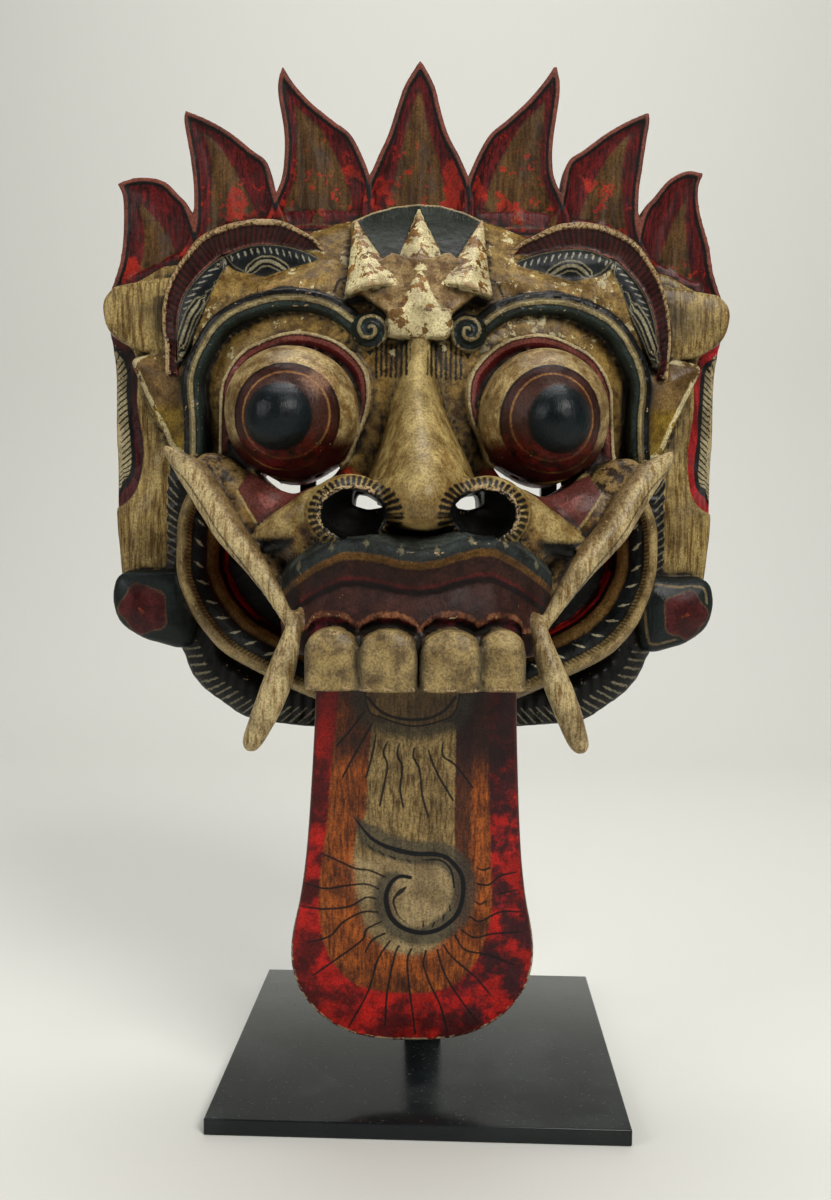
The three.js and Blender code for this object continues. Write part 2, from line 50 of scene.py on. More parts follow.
backdrop = bpy.data.objects.new("backdrop", backdrop_mesh)
bpy.context.collection.objects.link(backdrop)
paper = bpy.data.materials.new("pale_paper")
paper.use_nodes = True
paper.node_tree.nodes["Principled BSDF"].inputs["Base Color"].default_value = (0.72, 0.72, 0.68, 1)
paper.node_tree.nodes["Principled BSDF"].inputs["Roughness"].default_value = 0.62
backdrop_mesh.materials.append(paper)

world = bpy.data.worlds.new("studio")
world.use_nodes = True
world.node_tree.nodes["Background"].inputs["Color"].default_value = (1.0, 0.985, 0.95, 1)
world.node_tree.nodes["Background"].inputs["Strength"].default_value = 0.1
bpy.context.scene.world = world
for name, place, target, size, watts, tint in [
    ("key", (0.75, -1.25, 1.35), (0, 0, 0.33), 0.75, 27, (1.0, 0.98, 0.94)),
    ("fill", (-1.3, -0.95, 0.95), (0, 0, 0.33), 0.9, 9.5, (1.0, 0.99, 0.97)),
    ("top", (0.0, 0.15, 1.5), (0, 0, 0.3), 0.8, 6, (1.0, 1.0, 1.0)),
    ("wall", (0.0, 0.75, 2.2), (0, 1.6, 0.7), 1.6, 16, (1.0, 1.0, 0.98)),
]:
    light = bpy.data.lights.new(name, "AREA")
    light.size = size
    light.energy = watts
    light.color = tint
    lamp = bpy.data.objects.new(name, light)
    lamp.location = place
    lamp.rotation_euler = (Vector(target) - Vector(place)).to_track_quat("-Z", "Y").to_euler()
    bpy.context.collection.objects.link(lamp)

yaw, pitch, roll = (math.radians(v) for v in (-1.87, -2.6, 0.63))
forward = Vector((math.sin(yaw) * math.cos(pitch), math.cos(yaw) * math.cos(pitch), math.sin(pitch)))
level = Vector((math.cos(yaw), -math.sin(yaw), 0))
upward = level.cross(forward)
right = math.cos(roll) * level + math.sin(roll) * upward
upward = math.cos(roll) * upward - math.sin(roll) * level
lens = bpy.data.cameras.new("camera")
lens.lens = 36.16
camera = bpy.data.objects.new("camera", lens)
camera.matrix_world = Matrix.Translation((0.0147, -0.6493, 0.2773)) @ Matrix((right, upward,
        -forward)).transposed().to_4x4()
bpy.context.collection.objects.link(camera)
bpy.context.scene.camera = camera
bpy.context.scene.view_settings.view_transform = "Standard"

# Stand plate: a flat square of black lacquered steel that the whole piece stands on.
# Its edges are barely broken, worn a little at the front, and dust lies on its top.
def closed_mesh(name, points, faces):
    mesh = bpy.data.meshes.new(name)
    mesh.from_pydata(points, [], faces)
    piece = bpy.data.objects.new(name, mesh)
    bpy.context.collection.objects.link(piece)
    return piece


def box_points(x0, x1, y0, y1, z0, z1):
    return [(x, y, z) for z in (z0, z1) for x, y in ((x0, y0), (x1, y0), (x1, y1), (x0, y1))]


BOX_FACES = [(0, 3, 2, 1), (4, 5, 6, 7), (0, 1, 5, 4), (1, 2, 6, 5), (2, 3, 7, 6), (3, 0, 4, 7)]


def soften(piece, width, segments):
    bevel = piece.modifiers.new("bevel", "BEVEL")
    bevel.width = width
    bevel.segments = segments
    bevel.limit_method = "ANGLE"
    piece.data.shade_smooth()


PLATE_HALF = 0.1
PLATE_THICKNESS = 0.008
plate_points = box_points(-PLATE_HALF, PLATE_HALF, -PLATE_HALF, PLATE_HALF, 0, PLATE_THICKNESS)
plate = closed_mesh("stand_plate_body", plate_points, BOX_FACES)
soften(plate, 0.0008, 3)
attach(plate, "root")
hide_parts("stand_plate")


class Shade:
    """Short hand for building shader nodes: values may be numbers, colours or other nodes' outputs."""

    def __init__(self, tree):
        self.tree = tree

    def feed(self, socket, value):
        if isinstance(value, bpy.types.NodeSocket):
            self.tree.links.new(value, socket)
        elif socket.type == "RGBA":
            socket.default_value = (*value, 1)
        else:
            socket.default_value = value

    def node(self, kind, inputs=(), **settings):
        node = self.tree.nodes.new(kind)
        for key, value in settings.items():
            setattr(node, key, value)
        for key, value in dict(inputs).items():
            self.feed(node.inputs[key], value)
        return node

    def math(self, operation, a, b=0.0, c=0.0, clamp=False):
        return self.node("ShaderNodeMath", {0: a, 1: b, 2: c}, operation=operation,
                         use_clamp=clamp).outputs[0]

    def both(self, *edges):
        result = edges[0]
        for edge in edges[1:]:
            result = self.math("MINIMUM", result, edge)
        return result

    def band(self, value, low, high):
        return self.both(self.math("SUBTRACT", value, low), self.math("SUBTRACT", high, value))

    def span(self, value, low, high, out_low=0.0, out_high=1.0):
        inputs = {"Value": value, "From Min": low, "From Max": high, "To Min": out_low, "To Max": out_high}
        return self.node("ShaderNodeMapRange", inputs, interpolation_type="SMOOTHSTEP").outputs[0]

    def mix(self, share, a, b, blend="MIX"):
        return self.node("ShaderNodeMix", {0: share, 6: a, 7: b}, data_type="RGBA",
                         blend_type=blend).outputs[2]

    def noise(self, place, scale, detail=3.0, roughness=0.55, stretch=None):
        if stretch:
            place = self.node("ShaderNodeMapping", {"Vector": place, "Scale": stretch}).outputs[0]
        inputs = {"Vector": place, "Scale": scale, "Detail": detail, "Roughness": roughness}
        return self.node("ShaderNodeTexNoise", inputs).outputs[0]

    def millimetres(self):
        object_place = self.node("ShaderNodeTexCoord").outputs["Object"]
        inputs = {"Vector": object_place, "Scale": (1000, 1000, 1000)}
        return self.node("ShaderNodeMapping", inputs).outputs[0]

    def value(self, name):
        return self.node("ShaderNodeAttribute", attribute_name=name).outputs["Fac"]

    def group(self, tree, **inputs):
        values = {key.replace("_", " "): value for key, value in inputs.items()}
        return self.node("ShaderNodeGroup", values, node_tree=tree).outputs


def node_group(name, inputs, outputs):
    tree = bpy.data.node_groups.new(name, "ShaderNodeTree")
    for kind, sockets in (("INPUT", inputs), ("OUTPUT", outputs)):
        for label, socket_type in sockets:
            tree.interface.new_socket(label, in_out=kind, socket_type="NodeSocket" + socket_type)
    given = tree.nodes.new("NodeGroupInput").outputs
    out = tree.nodes.new("NodeGroupOutput").inputs
    return tree, Shade(tree), given, out


def material(name):
    made = bpy.data.materials.new(name)
    made.use_nodes = True
    return made, Shade(made.node_tree), made.node_tree.nodes["Principled BSDF"].inputs


# dust and faint wiping marks that lie on a smooth surface
dust_inputs = [("Color", "Color"), ("Place", "Vector"), ("Amount", "Float"), ("Roughness", "Float")]
dust_outputs = [("Color", "Color"), ("Roughness", "Float")]
dust_tree, s, given, out = node_group("settled_dust", dust_inputs, dust_outputs)
specks = s.span(s.noise(given["Place"], 420, 2, 0.7), 0.62, 0.72)
smears = s.span(s.noise(given["Place"], 26, 2, 0.6), 0.42, 0.72)
veil = s.math("MULTIPLY", s.math("ADD", s.math("MULTIPLY", specks, 0.35), s.math("MULTIPLY", smears, 0.16)),
              given["Amount"], clamp=True)
s.feed(out["Color"], s.mix(veil, given["Color"], (0.10, 0.115, 0.11)))
s.feed(out["Roughness"], s.math("ADD", given["Roughness"], s.math("MULTIPLY", veil, 0.5), clamp=True))

steel, s, shader = material("black_steel")
place = s.node("ShaderNodeTexCoord").outputs["Object"]
normal = s.node("ShaderNodeNewGeometry").outputs["Normal"]
normal_z = s.node("ShaderNodeSeparateXYZ", {0: normal}).outputs[2]
upward_face = s.math("ADD", s.math("MULTIPLY", normal_z, 0.6), 0.35, clamp=True)
dusty = s.group(dust_tree, Color=(0.0065, 0.0085, 0.0095), Place=place, Amount=upward_face, Roughness=0.17)
s.feed(shader["Base Color"], dusty["Color"])
s.feed(shader["Roughness"], dusty["Roughness"])
s.feed(shader["Specular IOR Level"], 0.25)
scuffs = s.node("ShaderNodeBump", {"Strength": 0.06, "Distance": 0.0004,
                                   "Height": s.noise(place, 300, 3)}).outputs[0]
s.feed(shader["Normal"], scuffs)
plate.data.materials.append(steel)

# Stand fork: a square post with a crossbar welded on, and two prongs that rise behind the mask.
# Each prong ends in a short peg that enters a socket in the back of the crown.
turn = math.radians(3)


def turned(points):
    c, s = math.cos(turn), math.sin(turn)
    return [((x * c - y * s) / 1000, (x * s + y * c) / 1000, z / 1000) for x, y, z in points]


POST_HALF = 10
POST_FOOT = 8.3
POST_TOP = 276.25
BAR = 8.5
BAR_FRONT = 2
PRONG_X = 65
PRONG_TOP = 430.25
PEG_FRONT = -10
post = (-POST_HALF, POST_HALF, BAR_FRONT, BAR_FRONT + 2 * POST_HALF, POST_FOOT, POST_TOP)
crossbar = (-PRONG_X - BAR / 2, PRONG_X + BAR / 2, BAR_FRONT, BAR_FRONT + BAR, POST_TOP - BAR, POST_TOP)
bars = [post, crossbar]
for side in (-PRONG_X, PRONG_X):
    bars.append((side - BAR / 2, side + BAR / 2, BAR_FRONT, BAR_FRONT + BAR, POST_TOP - BAR, PRONG_TOP))
    bars.append((side - BAR / 2, side + BAR / 2, PEG_FRONT, BAR_FRONT + BAR, PRONG_TOP - BAR, PRONG_TOP))
fork_points, fork_faces = [], []
for bar in bars:
    start = len(fork_points)
    fork_points += turned(box_points(*bar))
    fork_faces += [tuple(start + k for k in face) for face in BOX_FACES]
fork = closed_mesh("stand_fork_body", fork_points, fork_faces)
soften(fork, 0.0006, 2)
fork.data.materials.append(steel)
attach(fork, "root")
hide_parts("stand_fork")

# Tongue: a thin painted board, let into a slot behind the teeth, that leans back to the plate.
# Its end is rounded and slightly wider, and the edge is chipped.
def ease(low, high, value):
    t = np.clip((value - low) / (high - low), 0, 1)
    return t * t * (3 - 2 * t)


def curve(points, steps=6, closed=False):
    p = np.array(points, float)
    ends = (p[-1:], p[:1], p[1:2]) if closed else (2 * p[:1] - p[1:2], 2 * p[-1:] - p[-2:-1], p[:0])
    p = np.vstack([ends[0], p, *ends[1:]])
    t = np.linspace(0, 1, steps, endpoint=False)[:, None]
    parts = [0.5 * (2 * b + (c - a) * t + (2 * a - 5 * b + 4 * c - d) * t**2 + (3 * b - a - 3 * c + d)
                    * t**3) for a, b, c, d in zip(p, p[1:], p[2:], p[3:])]
    return np.vstack(parts if closed else parts + [p[-2:-1]])


MASK_X = -7.5
MASK_Y = 1.7
MASK_Z = 338


def put(x, f, z):
    """Layout coordinates of the carving, in millimetres, to the shared frame in metres."""
    px, py, pz = x + MASK_X, MASK_Y - f, z + MASK_Z
    c, s = math.cos(turn), math.sin(turn)
    return np.stack([(px * c - py * s), (px * s + py * c), pz], -1) / 1000


tongue_sides = curve([(-0.075, 46.5), (0.04, 46.5), (0.25, 48.5), (0.44, 51), (0.57, 54), (0.68, 58),
                      (0.75, 59), (0.81, 57.5), (0.87, 53), (0.93, 44), (0.97, 33), (0.99, 22),
                      (0.9995, 9)], 40)
ROWS, ACROSS, BEHIND = 360, 221, 24
TONGUE_TOP = -125
TONGUE_LENGTH = 181
TONGUE_SLOPE = 0.19
lengths = np.concatenate([[0], np.cumsum(np.hypot(*(np.diff(tongue_sides, axis=0) * [TONGUE_LENGTH,
        1]).T))])
even = np.linspace(0, lengths[-1], ROWS)
tongue_z = TONGUE_TOP - TONGUE_LENGTH * np.interp(even, lengths, tongue_sides[:, 0])
half = np.interp(even, lengths, tongue_sides[:, 1])
around = np.concatenate([np.linspace(-1, 1, ACROSS), np.linspace(1, -1, BEHIND + 2)[1:-1]])
ring = len(around)
tx = (half[:, None] * around[None, :]).ravel()
tz = np.repeat(tongue_z, ring)
on_front = np.tile(np.arange(ring) < ACROSS, ROWS)


def line_field(points, px, pz):
    """Distance to a line, signed by side, and the length along it, at each given point."""
    nearest = np.full(px.shape, 1e9)
    along = np.zeros(px.shape)
    side = np.ones(px.shape)
    length = 0.0
    for (ax, az), (bx, bz) in zip(points, points[1:]):
        dx, dz = bx - ax, bz - az
        size = math.hypot(dx, dz)
        if size < 1e-6:
            continue
        t = np.clip(((px - ax) * dx + (pz - az) * dz) / size**2, 0, 1)
        ex, ez = px - ax - t * dx, pz - az - t * dz
        gap = ex * ex + ez * ez
        closer = gap < nearest
        nearest = np.where(closer, gap, nearest)
        along = np.where(closer, length + t * size, along)
        side = np.where(closer, np.sign(dx * ez - dz * ex), side)
        length += size
    return np.sqrt(nearest) * side, along


def outline_field(points, px, pz):
    """Distance in from a closed outline: positive inside, negative outside."""
    closed = np.vstack([points, points[:1]])
    gap = np.abs(line_field(closed, px, pz)[0])
    inside = np.zeros(px.shape, bool)
    for (ax, az), (bx, bz) in zip(closed, closed[1:]):
        if az != bz:
            inside ^= ((az > pz) != (bz > pz)) & (px < (bx - ax) * (pz - az) / (bz - az) + ax)
    return np.where(inside, gap, -gap)


tongue_outline = np.vstack([np.column_stack([half, tongue_z]), np.column_stack([-half, tongue_z])[::-1]])
rim = np.abs(line_field(tongue_outline[10:-10:3], tx, tz)[0])
chips = 0.5 * np.sin(tz * 0.9 + 2 * np.sin(tx * 0.31)) * np.sin(tx * 0.7 + 1.7 * np.sin(tz * 0.23)) + 0.5
rounded = 1.6 * (1 - np.sqrt(np.clip(1 - (1 - np.clip(rim / 1.8, 0, 1))**2, 0, 1)))
rounded = rounded + 0.5 * ease(0.55, 1, chips) * ease(3.5, 0.5, rim) * ease(-190, -280, tz)
hand = 0.12 * np.sin(tz * 0.11 + tx * 0.05) + 0.08 * np.sin(tx * 0.21 - tz * 0.03)
tf = 98.8 + (tz - TONGUE_TOP) * TONGUE_SLOPE + np.where(on_front, -rounded + hand * ease(0, 6, rim),
                                                        -5.7 + rounded)
rank, spot = np.meshgrid(np.arange(ROWS - 1), np.arange(ring), indexing="ij")
beside = (spot + 1) % ring
tongue_faces = np.stack([(rank + 1) * ring + spot, (rank + 1) * ring + beside, rank * ring + beside,
                         rank * ring + spot], -1)
tongue_faces = tongue_faces.reshape(-1, 4).tolist() + [tuple(range(ring))[::-1],
                                                       tuple(range((ROWS - 1) * ring, ROWS * ring))]
tongue = closed_mesh("tongue_board", put(tx, tf, tz).tolist(), tongue_faces)
tongue.data.shade_smooth()
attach(tongue, "root")
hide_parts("tongue")


def ink(mesh, name, values):
    """Keeps a painted line's distance, in millimetres, with the mesh, for the paint to follow."""
    mesh.attributes.new(name, "FLOAT", "POINT").data.foreach_set("value",
                                                                 np.clip(values, -60,
            400).astype(np.float32))


spiral = curve([(-29.5, -188), (-25.5, -193.5), (-20.5, -199.5), (-14, -203.5), (-6.5, -206), (1, -207.5),
                (9, -207.5), (15, -209), (19.5, -213), (23, -218.5), (24, -225.5), (23, -233.5),
                (20.5, -239.5), (15.5, -244.5), (9.5, -247.5), (2.5, -248), (-5, -245.5), (-10, -241),
                (-12.5, -235), (-13, -228), (-10.5, -222), (-6.5, -219), (-1.5, -219.5)])
side, along = line_field(spiral, tx, tz)
ink(tongue.data, "spiral", np.interp(along, [0, 8, 30, 60, 130, 150], [0.2, 0.6, 1.25, 1.1, 1.25, 0.9])
    - np.abs(side))
ink(tongue.data, "spiral_shadow", 6.5 * ease(0, 14, along) * ease(152, 140, along) - np.where(side > 0,
        side, -1.2 * side + 4 * ease(95, 110, along)))
cream = curve([(-20, -143), (-22, -163.5), (-23, -185.5), (-27, -195.5), (-28.5, -205.5), (-28, -216),
               (-27, -226), (-25, -236.5), (-22.5, -245.5), (-17.5, -252), (-11, -257), (-1, -259.5),
               (7.5, -257.5), (13.5, -253), (19, -246.5), (20, -238.5), (19, -188), (18.5, -142.5)], 4)
orange = curve([(-34, -110), (-36.5, -139.5), (-39.5, -166), (-41, -190.5), (-44, -213.5), (-45.5, -232.5),
                (-43.5, -252), (-38, -265), (-29, -274.5), (-18, -278.5), (-3.5, -280), (11.5, -279),
                (23.5, -273), (31.5, -262), (36, -249), (38, -232), (36, -200), (34.5, -163), (32.5, -110)],
               4)
disc = curve([(-25, -112), (-23, -136), (-14.5, -141.5), (-1.5, -145), (11, -142.5), (19, -136.5),
              (22, -112)], 4)
ink(tongue.data, "cream", outline_field(cream, tx, tz))
ink(tongue.data, "orange", outline_field(orange, tx, tz))
ink(tongue.data, "disc", outline_field(disc, tx, tz))
arc = line_field(curve([(-22.5, -131), (-16.5, -137.5), (-9.5, -140.5), (-1.5, -141.5), (6.5, -140.5),
                        (13.5, -136.5), (18, -130.5)]), tx, tz)[0]
threads = [
    [(-18.5, -149), (-19.5, -155), (-21, -162), (-23, -169.5)],
    [(-13, -152), (-15, -157.5), (-13, -163.5), (-14.5, -173), (-16.5, -183.5)],
    [(-7.5, -153), (-8.5, -158.5), (-6, -164.5), (-7, -174.5), (-5.5, -184)],
    [(-0.5, -155), (-1, -159.5), (2, -165.5), (3.5, -178), (6.5, -189)],
    [(6, -156), (8, -162), (11.5, -169.5), (18, -180.5)],
    [(12.5, -153), (13, -159), (18.5, -163), (27, -174)],
    [(-23.5, -137), (-29.5, -145.5), (-36.5, -154)],
    [(-20, -143), (-26, -154), (-34, -169.5)],
    [(-44, -207.5), (-36.5, -211), (-28, -215), (-21, -216), (-13.5, -219.5)],
    [(-52.5, -222.5), (-42.5, -225.5), (-33, -224), (-23, -223), (-16.5, -225.5)],
    [(-54, -234.5), (-42.5, -236), (-30.5, -234.5), (-23, -230), (-18, -230.5)],
    [(-51, -253.5), (-40, -250), (-34, -243), (-24.5, -237.5), (-17, -237.5)],
    [(-48.5, -271), (-37.5, -262.5), (-24.5, -252), (-22.5, -246.5), (-15.5, -242.5)],
    [(-23, -258.5), (-19.5, -252), (-13.5, -248.5)],
    [(-31, -298.5), (-21.5, -279.5), (-17, -262.5), (-11, -252.5)],
    [(-13, -297.5), (-12, -278.5), (-8.5, -259.5), (-6.5, -255)],
    [(2, -302.5), (0.5, -290.5), (-1.5, -275.5), (-2.5, -262.5), (-0.5, -256.5)],
    [(18, -301), (14, -286.5), (9, -275.5), (5.5, -265), (6.5, -257.5)],
    [(32.5, -295.5), (25, -285), (16, -270), (12, -257)],
    [(39.5, -282), (31, -271.5), (19.5, -261), (15, -254.5)],
    [(50, -265), (36.5, -259.5), (25.5, -257), (20.5, -249.5)],
    [(53, -247.5), (38.5, -248.5), (30, -250.5), (23.5, -246.5)],
    [(53.5, -237), (42, -237), (32.5, -242), (27.5, -239.5)],
    [(50, -225.5), (41.5, -227.5)],
    [(49, -216.5), (41.5, -218.5), (36, -223), (30.5, -222.5)],
    [(30, -214), (33, -215.5), (36, -214.5)],
    [(29, -231), (32, -233), (35, -231.5)],
]
dashes = [[(-22, -203), (-19.5, -205.5)], [(-17, -206), (-14.5, -208)], [(-12, -208.5), (-9, -210)],
          [(-4, -210), (-2, -211.5)], [(17.5, -233.5), (18, -236.5)], [(15, -238.5), (14.5, -241.5)],
          [(10.5, -242.5), (9.5, -245)], [(5, -242), (5, -245)],
          [(4.5, -210.5), (12, -210.5), (16, -213), (18.5, -217.5), (19.5, -224.5)]]
crescent = [(-3.5, -224.5), (-7.5, -228), (-9.5, -231.5), (-8.5, -236), (-6.5, -240), (-2, -244)]
thin = 0.7 - np.abs(arc)
for line in threads + dashes:
    side, along = line_field(curve(line, 4), tx, tz)
    thin = np.maximum(thin, np.interp(along, [0, 6, 40], [0.38, 0.55, 0.5]) - np.abs(side))
side, along = line_field(curve(crescent), tx, tz)
thin = np.maximum(thin, np.interp(along, [0, 3, 7, 22], [0.4, 1.3, 0.6, 0.3]) - np.abs(side))
ink(tongue.data, "thin_lines", thin)
ink(tongue.data, "rim", np.where(on_front, rim, -2))
ink(tongue.data, "across", tx)
ink(tongue.data, "down", TONGUE_TOP - tz)

# one coat of paint with a slightly ragged brushed edge, laid over what is under it
coat_inputs = [("Under", "Color"), ("Paint", "Color"), ("Edge", "Float"), ("Raggedness", "Float"),
               ("Ragged", "Float"), ("Sharpness", "Float"), ("Cover", "Float")]
coat_tree, s, given, out = node_group("coat_of_paint", coat_inputs, [("Color", "Color")])
painted = s.math("MULTIPLY_ADD", given["Raggedness"], given["Ragged"], given["Edge"])
painted = s.math("MULTIPLY_ADD", painted, given["Sharpness"], 0.5, clamp=True)
s.feed(out["Color"], s.mix(s.math("MULTIPLY", painted, given["Cover"]), given["Under"], given["Paint"]))

# a row of brush strokes across a band: its edge is positive inside each stroke
row_inputs = [(label, "Float") for label in ("Across", "Along", "From", "To", "Period", "Width", "Slant")]
row_tree, s, given, out = node_group("stroke_row", row_inputs, [("Edge", "Float")])
slanted = s.math("ADD", given["Along"], s.math("MULTIPLY", given["Slant"], given["Across"]))
step_along = s.math("DIVIDE", slanted, given["Period"])
off_centre = s.math("MULTIPLY", s.math("ABSOLUTE", s.math("SUBTRACT", s.math("FRACT", step_along), 0.5)),
                    given["Period"])
within = s.both(s.math("SUBTRACT", given["Across"], given["From"]),
                s.math("SUBTRACT", given["To"], given["Across"]))
taper = s.math("MINIMUM", s.math("MULTIPLY", within, 0.6), s.math("MULTIPLY", given["Width"], 0.5))
s.feed(out["Edge"], s.math("SUBTRACT", taper, off_centre))

# years of handling: mottling, fine cracks, dirt in the hollows together with painted shade there, and paint
# rubbed from the edges
age_inputs = [("Color", "Color"), ("Place", "Vector"), ("Hollow", "Float"), ("Proud", "Float"),
              ("Wear", "Float"), ("Roughness", "Float")]
age_outputs = [("Color", "Color"), ("Roughness", "Float"), ("Bump Height", "Float")]
age_tree, s, given, out = node_group("old_varnish", age_inputs, age_outputs)
grain = s.noise(given["Place"], 0.55, 2, 0.65, stretch=(1.6, 1.6, 0.16))
speckle = s.noise(given["Place"], 0.9, 2, 0.75)
cloud = s.noise(given["Place"], 0.07, 1, 0.6)
colour = s.mix(s.span(speckle, 0.36, 0.62, 0.52, 0.0), given["Color"], (0.012, 0.007, 0.003), "MULTIPLY")
colour = s.mix(s.span(cloud, 0.35, 0.62, 0.42, 0.0), colour, (0.12, 0.055, 0.015), "MULTIPLY")
# darker in the hollows: partly dirt in the crevices, partly painted shade in the deep recesses
dirt_and_shade = s.math("MULTIPLY", s.math("ADD", given["Hollow"], s.math("MULTIPLY",
                                                                s.math("SUBTRACT", speckle, 0.5), 0.7)),
              0.95, clamp=True)
colour = s.mix(dirt_and_shade, colour, (0.008, 0.0055, 0.0035))
rubbed = s.math("ADD", given["Proud"], s.math("MULTIPLY", s.math("SUBTRACT", speckle, 0.5), 1.6))
bare = s.math("MULTIPLY", s.span(rubbed, 0.72, 0.9), given["Wear"])
colour = s.mix(bare, colour, s.mix(grain, (0.16, 0.08, 0.035), (0.55, 0.42, 0.22)))
s.feed(out["Color"], colour)
cloudy = s.math("ADD", given["Roughness"], s.span(cloud, 0.3, 0.7, -0.05, 0.12))
dull = s.math("MULTIPLY", s.math("ADD", bare, dirt_and_shade, clamp=True), 0.3)
s.feed(out["Roughness"], s.math("ADD", cloudy, dull, clamp=True))
height = s.math("ADD", s.math("MULTIPLY", grain, 0.7), s.math("MULTIPLY", s.noise(given["Place"], 0.22, 1),
                                                              1.4))
s.feed(out["Bump Height"], s.math("ADD", height, s.math("MULTIPLY", speckle, 0.3)))


class Inks(dict):
    """Reads each distance kept with the mesh once, when the paint first asks for it."""

    def __missing__(self, name):
        self[name] = s.value(name)
        return self[name]


tongue_paint, s, shader = material("tongue_paint")
place = s.millimetres()
v = Inks()
fine = s.math("SUBTRACT", s.noise(place, 0.8, 3), 0.5)
patches = s.noise(place, 0.06, 4, 0.65)
streaks = s.noise(place, 0.5, 4, 0.7, stretch=(1.4, 1, 0.12))
right_side = s.span(v["across"], 4, 40)
from_tip = v["down"]
red = s.mix(s.span(patches, 0.4, 0.6), (0.10, 0.005, 0.005), (0.56, 0.013, 0.009))
red = s.mix(s.math("MULTIPLY", right_side, s.span(patches, 0.62, 0.42)), red, (0.055, 0.008, 0.012))
# painted shade: the red is darker near the top of the board, under the teeth
red = s.mix(s.span(from_tip, 60, 0, 0, 0.45), red, (0.05, 0.004, 0.004))
colour = red


def coat(edge, paint, soft=0.5, ragged=0.6, cover=1.0):
    """Lays one coat on the colour so far; edge is in millimetres, positive where it is painted."""
    global colour
    colour = s.group(coat_tree, Under=colour, Paint=paint, Edge=edge, Raggedness=ragged * 2, Ragged=fine,
                     Sharpness=1 / soft, Cover=cover)["Color"]


def row(across, along, low, high, period, width, slant=0.0):
    return s.group(row_tree, Across=across, Along=along, From=low, To=high, Period=period, Width=width,
                   Slant=slant)["Edge"]


def varnish(strength, distance, **state):
    """Ages the colour so far and gives it to the material."""
    aged = s.group(age_tree, Color=colour, Place=place, **state)
    s.feed(shader["Base Color"], aged["Color"])
    s.feed(shader["Roughness"], aged["Roughness"])
    s.feed(shader["Specular IOR Level"], 0.2)
    bump = s.node("ShaderNodeBump", {"Strength": strength, "Distance": distance,
                                     "Height": aged["Bump Height"]})
    s.feed(shader["Normal"], bump.outputs[0])


coat(v["orange"], s.mix(s.span(streaks, 0.3, 0.7), (0.09, 0.021, 0.006), (0.48, 0.12, 0.018)), 1.2, 1.2)
coat(v["orange"], (0.03, 0.012, 0.008), 6, 4, s.math("MULTIPLY", s.span(patches, 0.5, 0.68), 0.6))
# painted shade over the top of the orange, under the teeth
coat(s.both(v["orange"], s.math("SUBTRACT", 34, from_tip)), (0.03, 0.012, 0.009), 14, 4, 0.75)
coat(s.both(v["orange"], s.band(v["across"], 18, 27)), (0.028, 0.012, 0.010), 2, 2,
     s.span(from_tip, 125, 90, 0, 0.75))
coat(s.both(s.math("SUBTRACT", v["across"], 14), s.math("SUBTRACT", 44, from_tip)), (0.018, 0.006, 0.006),
     20, 4, 0.8)
coat(v["cream"], s.mix(s.span(streaks, 0.32, 0.62), (0.10, 0.055, 0.015), (0.38, 0.265, 0.105)), 0.9, 0.9)
coat(s.both(v["cream"], s.math("SUBTRACT", from_tip, 84)), (0.42, 0.32, 0.17), 6, 3, 0.55)
coat(s.math("ADD", v["disc"], 6), (0.05, 0.04, 0.026), 4, 1, 0.8)
coat(v["disc"], s.mix(s.span(streaks, 0.35, 0.65), (0.08, 0.045, 0.015), (0.2, 0.12, 0.045)), 0.8, 0.6)
coat(s.both(v["disc"], s.math("SUBTRACT", 0.9, v["disc"])), (0.006, 0.005, 0.005), 0.5, 0.3)
coat(v["spiral_shadow"], (0.055, 0.05, 0.036), 2.5, 0.6, 0.8)
coat(v["spiral"], (0.003, 0.004, 0.006), 0.4, 0.25)
coat(v["thin_lines"], (0.006, 0.005, 0.005), 0.35, 0.2, 0.95)
coat(s.math("SUBTRACT", 1.1, v["rim"]), (0.12, 0.02, 0.014), 1.2, 1.0, 0.75)
worn_rim = s.math("SUBTRACT", s.math("MULTIPLY", s.span(from_tip, 90, 175), 1.5), v["rim"])
coat(s.both(worn_rim, s.math("MULTIPLY", s.math("SUBTRACT", s.noise(place, 0.35, 4), 0.5), 9)),
     (0.5, 0.42, 0.26), 0.6, 0.5)
coat(s.math("SUBTRACT", -1, v["rim"]), (0.045, 0.022, 0.011), 0.6, 0.2)
varnish(0.5, 0.0005, Hollow=0.0, Proud=0.2, Wear=1.0, Roughness=0.36)
tongue.data.materials.append(tongue_paint)

# Mask: one carved block. Every form is cut in depth from the flat back, and the forms run into
# each other as the carver left them, so the whole relief is worked out on one fine grid of depths.
STEP = 1.5
GRID_LOW = np.array([-166.5, -4.5, -166.5])
SHAPE = (223, 100, 240)
gx, gf, gz = (GRID_LOW[i] + STEP * np.arange(SHAPE[i]) for i in range(3))

MAP_STEP = 0.8
map_x = np.arange(-6, 170, MAP_STEP)
map_z = np.arange(-170, 200, MAP_STEP)
mx, mz = np.meshgrid(map_x, map_z, indexing="ij")


def smooth_min(a, b, r):
    if r <= 0:
        return np.minimum(a, b)
    h = np.clip(0.5 + 0.5 * (b - a) / r, 0, 1)
    return b + (a - b) * h - r * h * (1 - h)


def smooth_max(a, b, r):
    return -smooth_min(-a, -b, r)


def line_map(points):
    return line_field(points, mx, mz)


def outline_map(points):
    return outline_field(points, mx, mz)


def read(chart, x, z):
    u = np.clip((np.abs(x) - map_x[0]) / MAP_STEP, 0, len(map_x) - 1.01)
    v = np.clip((z - map_z[0]) / MAP_STEP, 0, len(map_z) - 1.01)
    i, j = u.astype(int), v.astype(int)
    u, v = u - i, v - j
    return ((chart[i, j] * (1 - u) + chart[i + 1, j] * u) * (1 - v)
            + (chart[i, j + 1] * (1 - u) + chart[i + 1, j + 1] * u) * v)


def both(points):
    return np.array(list(points) + [(-x, z) for x, z in points[::-1] if x > 1e-6])


